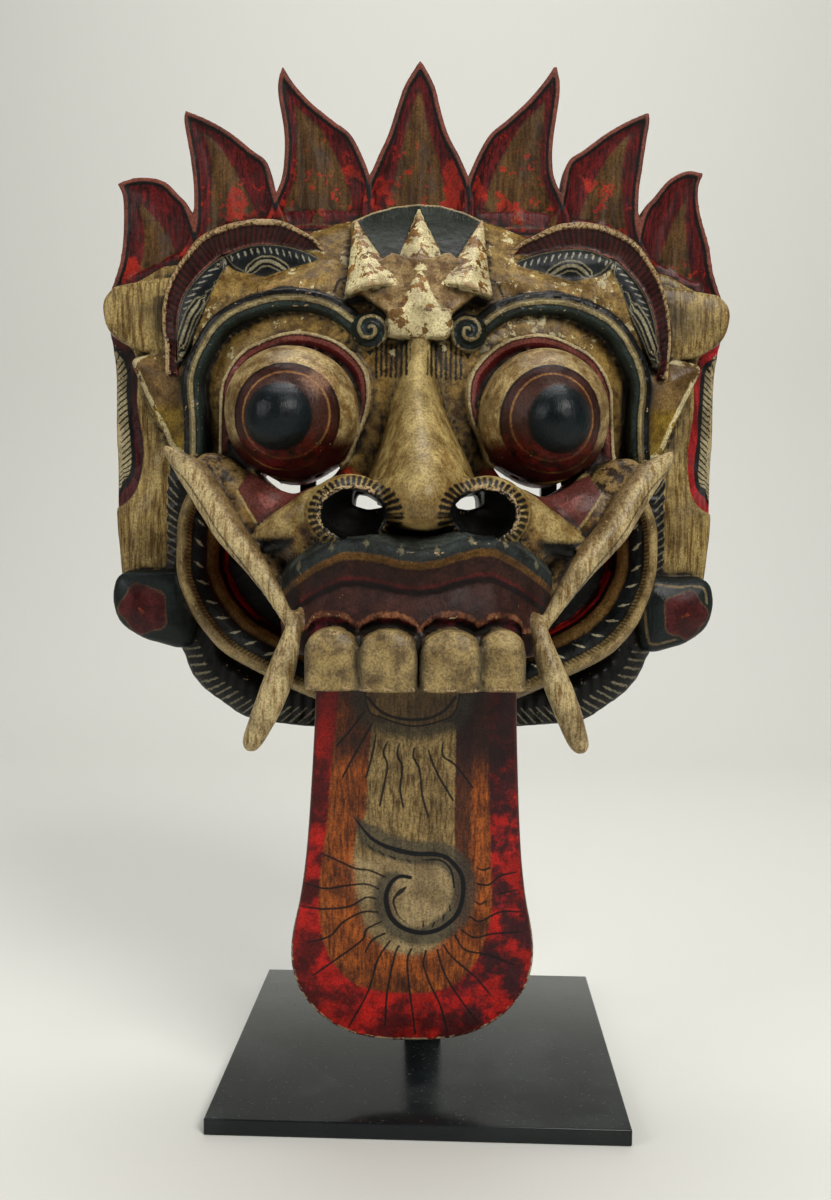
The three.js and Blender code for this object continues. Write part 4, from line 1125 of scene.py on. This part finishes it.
# how far each point of the surface lies inside its own carved form, for the paint to follow
px, pf, pz = points.T
wx, wz = warp(px, pz)
ax = np.abs(wx)
gaps = {}
for group, form, low, high, soft, kind in forms:
    x, z = (px, pz) if abs(kind) == 2 else (wx, wz)
    values = np.full(len(px), 30.0)
    sideways = np.abs(x) if abs(kind) == 1 else x
    near = (sideways > low[0] - 6) & (sideways < high[0] + 6) & (pf > low[1] - 6) & (pf < high[1] + 6)
    near &= (z > low[2] - 8) & (z < high[2] + 8)
    values[near] = form(x[near], pf[near], z[near])
    key = ("cut_" if kind < 0 else "") + ("flame" if group.startswith("flame") else group)
    gaps[key] = np.minimum(gaps[key], values) if key in gaps else values
solids = [key for key in gaps if not key.startswith("cut_")]
stack = np.stack([gaps[key] for key in solids])
order = np.sort(stack, 0)
for n, key in enumerate(solids):
    others = np.where(stack[n] == order[0], order[1], order[0])
    ink(mask_mesh, "on_" + key, np.clip(others - stack[n], -5, 5))
flame_edges = np.stack([read(chart[0], wx, wz) for chart in flame_charts])
which = flame_edges.argmax(0)
ink(mask_mesh, "flame_in", flame_edges.max(0))
ink(mask_mesh, "flame_mid", np.choose(which, [np.abs(read(chart[1], wx, wz)) for chart in flame_charts]))
ink(mask_mesh, "flame_down", np.choose(which, [read(chart[2].max() - chart[2], wx, wz)
                                               for chart in flame_charts]))
ink(mask_mesh, "crest_share", read(crest_share, wx, wz) * 10)
ink(mask_mesh, "leaf_in", np.maximum(read(upper_leaf, wx, wz), read(side_leaf, wx, wz)))
ink(mask_mesh, "leaf_across", np.abs(read(crest_inner[0], wx, wz)))
ink(mask_mesh, "leaf_along", np.where(ax < 99, ax * 1.05, 104 + (84 - wz) * 1.1))
ink(mask_mesh, "brow_in", -read(brow_line[0], wx, wz))
ink(mask_mesh, "iris_ring", np.hypot(ax - 61, wz + 1.5))
ink(mask_mesh, "nostril_gap", gaps["cut_nostril"])
ink(mask_mesh, "nostril_turn", np.arctan2(wz + 47.5, ax - 29) * 15)
ink(mask_mesh, "lip_below", lip_top(wx) - wz)
ink(mask_mesh, "gum_low", wz - gum_low(wx))
tusk_map = line_map(curve([(57.5, -100), (64, -88), (74.5, -71), (82, -61.5), (90, -52), (98, -40),
                           (106, -29), (114.5, -21.5), (121, -16)]))
ink(mask_mesh, "petals", 13 + 1.2 * np.cos(5 * np.arctan2(wz + 95, ax - 138)) - np.hypot(ax - 138, wz + 95))
ink(mask_mesh, "curl_wave", np.cos(2 * np.pi * (np.hypot(ax - 23, wz - 42) / 5.2 - np.arctan2(wz - 42,
        ax - 23) / (2 * np.pi))))
ink(mask_mesh, "back", np.maximum(0.8 - pf, 1.0 - np.abs(gaps["cut_inside"])))
lower_lid = outline_map(np.array([(94, -20), (74, -51), (65, -49), (36, -24), (44, -27), (58, -38),
                                  (75, -29)]))
for name, chart in (
    ("crest_along", crest_outer[1]),
    ("lid_in", lid_edge),
    ("tusk_across", tusk_map[0]),
    ("jaw_in", jaw_line[0]),
    ("jaw_along", jaw_line[1]),
    ("hair_in", beard_edge),
    ("shell_in", shell_edge),
    ("ear_leaf_in", leaf_edge),
    ("plug_in", plug_edge),
    ("fan_in", fan_edge),
    ("lower_lid", lower_lid),
):
    ink(mask_mesh, name, read(chart, wx, wz))
scrolls = [[(105, 40), (104, 47), (99, 51), (93, 52), (87, 47)],
           [(80, 58), (77, 62), (70, 65.5), (62, 65.5), (54, 62), (48, 58)], [(79, 57), (82, 61), (86, 60)],
           [(42, 64), (40, 70), (36, 72)], [(84, 76), (79, 79.5), (73, 79.5), (67, 76)],
           [(119, 40), (116.5, 47), (113.5, 54), (109, 60)]]
for name, lines in (("scroll", scrolls[:4]), ("leaf_eye", scrolls[4:])):
    offsets = np.stack([line_field(curve(line), ax, wz)[0] for line in lines])
    nearest = np.abs(offsets).argmin(0)
    ink(mask_mesh, name, np.take_along_axis(offsets, nearest[None], 0)[0])
tooth_rows = np.stack([width / 2 - np.abs(px - centre) for centre, width, front in TEETH])
ink(mask_mesh, "tooth_in", tooth_rows.max(0))
ink(mask_mesh, "height", wz)
ink(mask_mesh, "out", ax)
ink(mask_mesh, "right", px)
ink(mask_mesh, "front", pf)


def blurred(size):
    """Share of solid wood around each point: over a half in a hollow, under a half on an edge."""
    share = (field < 0).astype(np.float32)
    for axis in range(3):
        total = np.cumsum(np.insert(share, 0, 0, axis), axis, dtype=np.float64)
        count = share.shape[axis]
        low = np.clip(np.arange(count) - size, 0, count)
        high = np.clip(np.arange(count) + size + 1, 0, count)
        share = ((np.take(total, high, axis) - np.take(total, low, axis))
                 / (2 * size + 1)).astype(np.float32)
    cell = np.clip(np.round((points - GRID_LOW) / STEP).astype(int), 0, np.array(SHAPE) - 1)
    return share[tuple(cell.T)]


# how deep each point lies in a hollow: the paint is darkened there, partly as dirt in the crevices and
# partly as painted shade in the deep recesses
tight, wide = blurred(2), blurred(7)
ink(mask_mesh, "hollow", ease(0.55, 0.75, tight) * 0.8 + ease(0.56, 0.80, wide) * 0.6)
ink(mask_mesh, "proud", ease(0.48, 0.2, tight))

painted_wood, s, shader = material("painted_wood")
place = s.millimetres()
fine = s.math("SUBTRACT", s.noise(place, 0.7, 1), 0.5)
blotch = s.noise(place, 0.16, 3, 0.65)
patches = s.noise(place, 0.055, 2, 0.6)
streaks = s.noise(place, 0.4, 3, 0.7, stretch=(1.5, 1, 0.14))
flakes = s.noise(place, 0.11, 4, 0.7)
v = Inks()
right_side = s.span(v["right"], -5, 5)
mottled = s.span(blotch, 0.36, 0.62)
streaked = s.span(streaks, 0.34, 0.62)


def less(a, b):
    return s.math("SUBTRACT", b, a)


def more(a, b):
    return s.math("SUBTRACT", a, b)


def bands(value, *stripes, soft=0.5):
    """Stripes of paint side by side: for each one, where it ends in millimetres, and its colour."""
    reach = stripes[-1][0]
    place_along = s.math("MULTIPLY", s.math("MULTIPLY_ADD", fine, 0.7, value), 1 / reach)
    ramp = s.node("ShaderNodeValToRGB", {0: place_along})
    elements = ramp.color_ramp.elements
    elements[0].color = (*stripes[0][1], 1)
    elements[1].color = (*stripes[-1][1], 1)
    for (end, before), (_, after) in zip(stripes, stripes[1:]):
        elements.new((end - soft / 2) / reach).color = (*before, 1)
        elements.new((end + soft / 2) / reach).color = (*after, 1)
    return ramp.outputs[0]


TAN = (0.27, 0.165, 0.048)
CREAM = (0.47, 0.345, 0.13)
PRIMER = (0.76, 0.66, 0.36)
BLACK = (0.004, 0.0045, 0.0045)
RED = (0.44, 0.012, 0.008)
BROWN = (0.05, 0.022, 0.010)
creamy = s.mix(mottled, TAN, CREAM)
dull_red = s.mix(streaked, (0.030, 0.004, 0.004), (0.17, 0.009, 0.010))

# face, forehead and cheeks
colour = s.mix(mottled, (0.17, 0.092, 0.018), (0.37, 0.235, 0.058))
coat(s.both(v["on_face"], less(v["height"], 22)), s.mix(mottled, BROWN, (0.30, 0.19, 0.055)), 6, 3, 0.6)
coat(less(s.math("ABSOLUTE", v["scroll"]), 3.2), s.mix(mottled, TAN, (0.40, 0.25, 0.09)), 1, 0.8, 0.8)
coat(s.band(v["scroll"], 0.2, 1.6), (0.02, 0.012, 0.006), 0.5, 0.5)
coat(v["on_cheek"], s.mix(mottled, (0.07, 0.03, 0.009), (0.30, 0.18, 0.05)), 1.5, 1)
coat(s.both(v["on_cheek"], more(v["lower_lid"], -1.8)), bands(s.math("ADD", v["lower_lid"], 3),
                                                              (2.4, CREAM), (9, (0.14, 0.036, 0.027)),
                                                              (30, (0.24, 0.062, 0.048))), 0.6, 0.5)
coat(v["on_fold"], creamy, 0.8, 0.6)
coat(s.both(more(v["on_fold"], -1.5), less(v["height"], -58)), BLACK, 2.5, 1)
coat(v["on_cheek_lobe"], s.mix(s.span(flakes, 0.42, 0.56), (0.030, 0.015, 0.006), (0.30, 0.19, 0.065)), 0.8,
     0.8)

# floor of the open mouth
mouth_inside = s.both(more(v["jaw_in"], 17), less(v["front"], 60), less(v["height"], -16))
coat(mouth_inside, s.mix(s.span(patches, 0.40, 0.56), (0.04, 0.003, 0.003), (0.80, 0.018, 0.016)), 1.5, 1)

# eyes
coat(s.both(more(v["lid_in"], 5), less(v["front"], 74)), s.mix(s.span(patches, 0.45, 0.6), BLACK,
                                                               (0.05, 0.006, 0.006)), 1, 0.5)
coat(v["on_lid"], bands(v["lid_in"], (1.9, (0.47, 0.37, 0.19)), (2.6, (0.045, 0.012, 0.010)),
                        (4.6, (0.26, 0.075, 0.06)), (14, (0.10, 0.008, 0.010))), 0.5, 0.3)
ball = s.mix(mottled, (0.24, 0.14, 0.042), (0.50, 0.37, 0.16))
# painted shade: the ball's lower part is painted black with dark red patches
coat(v["on_eyeball"], s.mix(s.span(v["height"], -7, -17), ball,
                            s.mix(patches, BLACK, (0.10, 0.006, 0.006))), 0.4, 0.2)
iris = bands(v["iris_ring"], (19.2, (0.060, 0.021, 0.013)), (20.1, (0.30, 0.14, 0.045)),
             (23.2, (0.050, 0.015, 0.010)), (24.5, (0.016, 0.006, 0.005)))
iris = s.mix(s.math("MULTIPLY", s.span(v["height"], -4, -18), 0.75), iris,
             s.mix(mottled, (0.012, 0.002, 0.002), (0.15, 0.007, 0.007)))
coat(s.both(less(v["iris_ring"], 24.3), more(v["front"], 79)), iris, 0.5, 0.3)
# a soft pale tan spot low on the inner side of the left eye
pale_spot = less(s.math("ADD", s.math("ABSOLUTE", more(v["right"], -47)),
                        s.math("ABSOLUTE", more(v["height"], 14))), 7)
coat(pale_spot, (0.42, 0.22, 0.12), 5, 4, 0.5)
coat(more(v["on_pupil"], 0.2), (0.0035, 0.0085, 0.0115), 0.9, 0.2)

# eyebrows and their curls
coat(v["on_brow"], bands(v["brow_in"], (3.6, (0.028, 0.042, 0.036)), (4.2, BLACK),
                         (6.0, (0.38, 0.31, 0.15)), (7.2, (0.15, 0.115, 0.045)), (12, BLACK)), 0.4, 0.2)
coat(v["on_curl"], bands(s.math("ADD", v["curl_wave"], 1), (1.45, (0.010, 0.018, 0.016)),
                         (2.2, (0.26, 0.21, 0.10)), soft=0.3), 0.4, 0.2)

# crests and their dark leaves
coat(v["on_crest"], bands(v["crest_share"], (2.5, (0.34, 0.21, 0.08)), (9.2, (0.062, 0.009, 0.007)),
                          (11, (0.26, 0.085, 0.07))), 0.4, 0.2)
coat(s.both(v["on_crest"], row(v["crest_share"], v["crest_along"], 1.6, 9.6, 3.2, 1.5, 0.3)),
     (0.008, 0.004, 0.003), 0.9, 0.8, 0.85)
coat(s.both(v["on_crest"], row(v["crest_share"], v["crest_along"], 0.2, 2.6, 3.3, 1.0, 0.5)),
     (0.03, 0.015, 0.008), 0.6, 0.5, 0.8)
coat(v["on_leaf"], bands(v["leaf_in"], (0.3, BLACK), (0.9, (0.15, 0.13, 0.07)), (8, (0.005, 0.008, 0.009)),
                         soft=0.4), 0.4, 0.2)
coat(s.both(v["on_leaf"], row(v["leaf_across"], v["leaf_along"], 2.0, 5.4, 3.5, 1.1, 0.35)),
     (0.34, 0.33, 0.25), 0.4, 0.6, 0.9)
eye_arc = s.math("ABSOLUTE", v["leaf_eye"])
coat(s.both(v["on_leaf"], less(eye_arc, 3.2)), bands(eye_arc, (0.8, (0.34, 0.31, 0.19)), (2.1, BLACK),
                                                     (2.9, (0.26, 0.23, 0.14)), (4, BLACK)), 0.4, 0.3)

# crown flames
flame = v["on_flame"]
coat(s.math("MAXIMUM", flame, v["on_crown_foot"]), dull_red, 0.5, 0.2)
heart = s.both(more(v["flame_in"], 6.2), less(v["flame_mid"], s.math("MULTIPLY", more(v["flame_down"], 13),
        0.28)))
coat(s.both(flame, heart), s.mix(streaked, (0.065, 0.028, 0.006), (0.14, 0.068, 0.016)), 1.0, 1.0)
glow = s.math("MULTIPLY", s.math("MAXIMUM", more(patches, 0.59), more(blotch, 0.61)), 60)
coat(s.both(flame, glow, more(v["flame_down"], 42)), s.mix(streaks, (0.5, 0.035, 0.010), RED), 3, 3, 0.85)
coat(s.both(flame, less(v["flame_in"], 3.7)), bands(s.math("ADD", v["flame_in"], 1),
                                                    (0.9, (0.07, 0.012, 0.010)),
                                                    (3.2, (0.20, 0.055, 0.035)),
                                                    (5, (0.006, 0.004, 0.004))), 0.6, 0.4)

# diadem
coat(v["on_fan"], bands(v["fan_in"], (1.2, (0.36, 0.27, 0.12)), (20, (0.016, 0.022, 0.014))), 0.3, 0.2)
chipped = s.mix(s.span(flakes, 0.47, 0.50), s.mix(mottled, (0.13, 0.055, 0.012), (0.36, 0.18, 0.045)),
                PRIMER)
coat(s.math("MAXIMUM", v["on_ray"], v["on_low_ray"]), chipped, 0.4, 0.2)
coat(v["on_shield"], s.mix(mottled, (0.16, 0.085, 0.028), (0.38, 0.255, 0.105)), 0.4, 0.2)
coat(v["on_root"], s.mix(s.span(flakes, 0.44, 0.48), (0.22, 0.115, 0.03), PRIMER), 0.4, 0.2)

# nose and nostrils
nose_here = s.math("MAXIMUM", v["on_nose"], v["on_wing"])
# painted highlight: the nose is paler along its middle ridge
nose_paint_and_highlight = s.mix(s.span(v["out"], 2, 11, 0.6, 0.0), s.mix(mottled, (0.26, 0.155, 0.042),
                                                            (0.50, 0.365, 0.13)), (0.60, 0.47, 0.20))
coat(nose_here, nose_paint_and_highlight, 1, 0.5)
coat(s.both(v["on_nose"], s.band(v["height"], -54, -36)), (0.22, 0.11, 0.022), 9, 3, 0.5)
coat(s.both(row(v["height"], v["right"], 19, 37, 2.4, 1.3), less(v["out"], 21), more(v["out"], 4)), BLACK,
     0.6, 0.9, 0.95)
rim_ring = s.both(nose_here, s.band(v["nostril_gap"], 0.2, 6.0))
coat(s.both(rim_ring, row(v["nostril_gap"], v["nostril_turn"], -3, 6.6, 2.4, 1.7)), (0.010, 0.008, 0.006),
     0.7, 0.4)
coat(less(v["nostril_gap"], 1.3), BLACK, 1.2, 0.5)

# lips, gum and teeth
below = v["lip_below"]
mouth = v["on_muzzle"]
lip_paint = bands(below, (3, (0.085, 0.10, 0.085)), (9.2, (0.032, 0.042, 0.040)),
                  (12.6, (0.22, 0.105, 0.024)), (19.8, (0.045, 0.014, 0.009)),
                  (21.6, (0.085, 0.010, 0.008)), (24.6, (0.012, 0.004, 0.004)), (45, (0.055, 0.016, 0.011)),
                  soft=1.0)
coat(mouth, s.mix(s.span(blotch, 0.36, 0.62, 0.6, 0.0), lip_paint, (0.25, 0.22, 0.2), "MULTIPLY"), 0.4, 0.2)
coat(s.both(mouth, row(below, v["right"], 2.6, 7.0, 15.5, 3.4)), (0.30, 0.27, 0.15), 0.9, 0.8, 0.6)
# painted highlight: a paler orange-pink band along the gum's scalloped lower edge
coat(s.both(mouth, s.band(v["gum_low"], 0.6, 3.4)), s.mix(mottled, (0.10, 0.028, 0.012),
                                                          (0.40, 0.15, 0.06)), 1.2, 1, 0.7)
coat(s.both(more(mouth, -1), less(v["gum_low"], 0.2), more(v["front"], 100)),
     s.mix(mottled, (0.016, 0.004, 0.006), (0.20, 0.010, 0.025)), 0.6, 0.3)
coat(v["on_tooth_bed"], (0.02, 0.008, 0.004), 0.4, 0.2)
tooth_paint_and_shade = s.mix(s.span(blotch, 0.32, 0.62), (0.14, 0.062, 0.010), (0.54, 0.37, 0.115))
# painted shade: each tooth darkens towards its sides and turns duller near the gum
tooth_paint_and_shade = s.mix(s.span(v["tooth_in"], 3.6, 0.2, 0.0, 0.85), tooth_paint_and_shade, (0.03, 0.016, 0.007))
tooth_paint_and_shade = s.mix(s.span(v["height"], -107, -98, 0.0, 0.45), tooth_paint_and_shade, (0.26, 0.22, 0.13))
coat(v["on_tooth"], tooth_paint_and_shade, 0.4, 0.2)

# tusks and fangs
ivory_with_shaded_side = s.mix(s.span(streaks, 0.32, 0.58), (0.24, 0.14, 0.042), (0.58, 0.46, 0.23))
# painted shade: one side of each tusk is painted brown
ivory_with_shaded_side = s.mix(s.both(s.span(v["tusk_across"], 1.5, 5.5, 0.0, 0.75), s.span(v["height"], -104, -98)), ivory_with_shaded_side,
              (0.15, 0.080, 0.028))
coat(s.math("MAXIMUM", v["on_tusk"], v["on_fang"]), ivory_with_shaded_side, 0.4, 0.2)
coat(s.both(v["on_tusk"], s.band(v["tusk_across"], -4.4, -3.7)), (0.04, 0.022, 0.012), 0.5, 0.5, 0.8)

# jaw ring and hair
jaw_here = v["on_jaw"]
jaw_paint = bands(v["jaw_in"], (8.5, (0.40, 0.29, 0.12)), (15.5, (0.010, 0.015, 0.016)),
                  (20.6, (0.19, 0.105, 0.03)), (23, (0.02, 0.004, 0.004)))
coat(s.both(jaw_here, less(v["jaw_in"], 22)), s.mix(s.span(blotch, 0.34, 0.6, 0.65, 0.0), jaw_paint,
                                                    (0.33, 0.28, 0.2), "MULTIPLY"), 0.5, 0.3)
coat(s.both(jaw_here, row(v["jaw_in"], v["jaw_along"], 9.8, 14.2, 12, 1.9, 1.0)), (0.44, 0.40, 0.26), 0.6,
     0.8)
coat(s.both(jaw_here, row(v["jaw_in"], v["jaw_along"], 6.6, 10.2, 2.1, 0.8, 0.5)), (0.02, 0.016, 0.011),
     0.5, 0.3, 0.8)
coat(v["on_hair"], s.mix(s.span(v["front"], 4, 14), (0.02, 0.010, 0.006), BLACK), 0.4, 0.2)
coat(s.both(v["on_hair"], row(v["hair_in"], v["jaw_along"], 1.2, 11, 3.7, 0.95, 0.5), more(v["front"], 17)),
     (0.24, 0.21, 0.13), 0.4, 0.6, 0.85)

# ears with their shells, leaves and plugs
ear_body = s.math("MAXIMUM", s.math("MAXIMUM", v["on_ear"], v["on_ear_lobe"]), v["on_ear_top"])
coat(ear_body, s.mix(streaked, (0.14, 0.075, 0.018), (0.43, 0.315, 0.115)), 0.6, 0.3)
# painted shade: the shell's red is dark on the left ear and bright on the right
shell_red_lit_and_shaded = s.mix(right_side, (0.085, 0.010, 0.011), (0.46, 0.013, 0.016))
coat(s.both(v["on_ear"], more(v["shell_in"], -0.6)), s.mix(s.span(v["shell_in"], 3.9, 4.5), shell_red_lit_and_shaded,
                                                           bands(v["shell_in"], (6.4, BLACK),
                                                                 (16, (0.42, 0.36, 0.20)))), 0.5, 0.3)
coat(s.both(v["on_ear"], row(v["shell_in"], v["height"], 5.4, 11.5, 3.1, 1.0, 0.9)), BLACK, 0.4, 0.3)
leaf_paint = s.mix(s.span(v["height"], 6, 12), (0.33, 0.21, 0.024), (0.25, 0.15, 0.05))
coat(v["on_ear_leaf"], s.mix(s.span(blotch, 0.36, 0.62, 0.65, 0.0), leaf_paint, (0.3, 0.25, 0.2),
                             "MULTIPLY"), 0.4, 0.3)
coat(s.both(v["on_ear_leaf"], s.band(v["ear_leaf_in"], 0.3, 3.0),
            s.math("MULTIPLY", more(flakes, 0.48), 50)), PRIMER, 0.6, 0.4, 0.9)
coat(v["on_plug"], (0.010, 0.017, 0.016), 0.4, 0.2)
petals = bands(v["petals"], (0.9, (0.12, 0.06, 0.03)), (11.2, (0.085, 0.010, 0.010)),
               (14, (0.34, 0.06, 0.02)), soft=1.0)
coat(s.both(v["on_plug"], v["petals"]), s.mix(s.span(blotch, 0.36, 0.62, 0.65, 0.0), petals,
                                              (0.25, 0.25, 0.25), "MULTIPLY"), 0.6, 0.3)
strokes_here = s.both(v["on_plug"], less(v["petals"], -1.5), more(v["right"], 0))
coat(s.both(strokes_here, row(v["plug_in"], v["height"], 2.5, 9, 6.5, 1.5, 1.1)), (0.24, 0.17, 0.08), 0.6,
     0.4, 0.8)

# flaked paint over the pale primer, then the bare back
flaked = s.both(s.math("MAXIMUM", s.both(v["on_face"], more(v["height"], 30)), v["on_panel"]),
                s.math("MULTIPLY", more(flakes, 0.60), 60))
coat(flaked, PRIMER, 0.8, 0.6, 0.95)
coat(v["back"], s.mix(streaked, (0.035, 0.016, 0.008), (0.12, 0.06, 0.028)), 0.8, 0.4)
smooth_parts = s.math("MULTIPLY", s.math("MAXIMUM", s.math("MAXIMUM", v["on_pupil"], v["on_plug"]), flame),
                      4)
# dirt and painted shade in the hollows, less of both on the mouth's floor
grime_and_shade = s.math("MULTIPLY", v["hollow"], s.span(mouth_inside, -1, 1, 1.0, 0.2))
wear = s.math("SUBTRACT", 0.8, smooth_parts, clamp=True)
dullness = s.span(s.math("MAXIMUM", mouth, flame), 0, 1, 0.36, 0.56)
varnish(0.45, 0.0006, Hollow=grime_and_shade, Proud=v["proud"], Wear=wear, Roughness=dullness)
mask_mesh.materials.append(painted_wood)
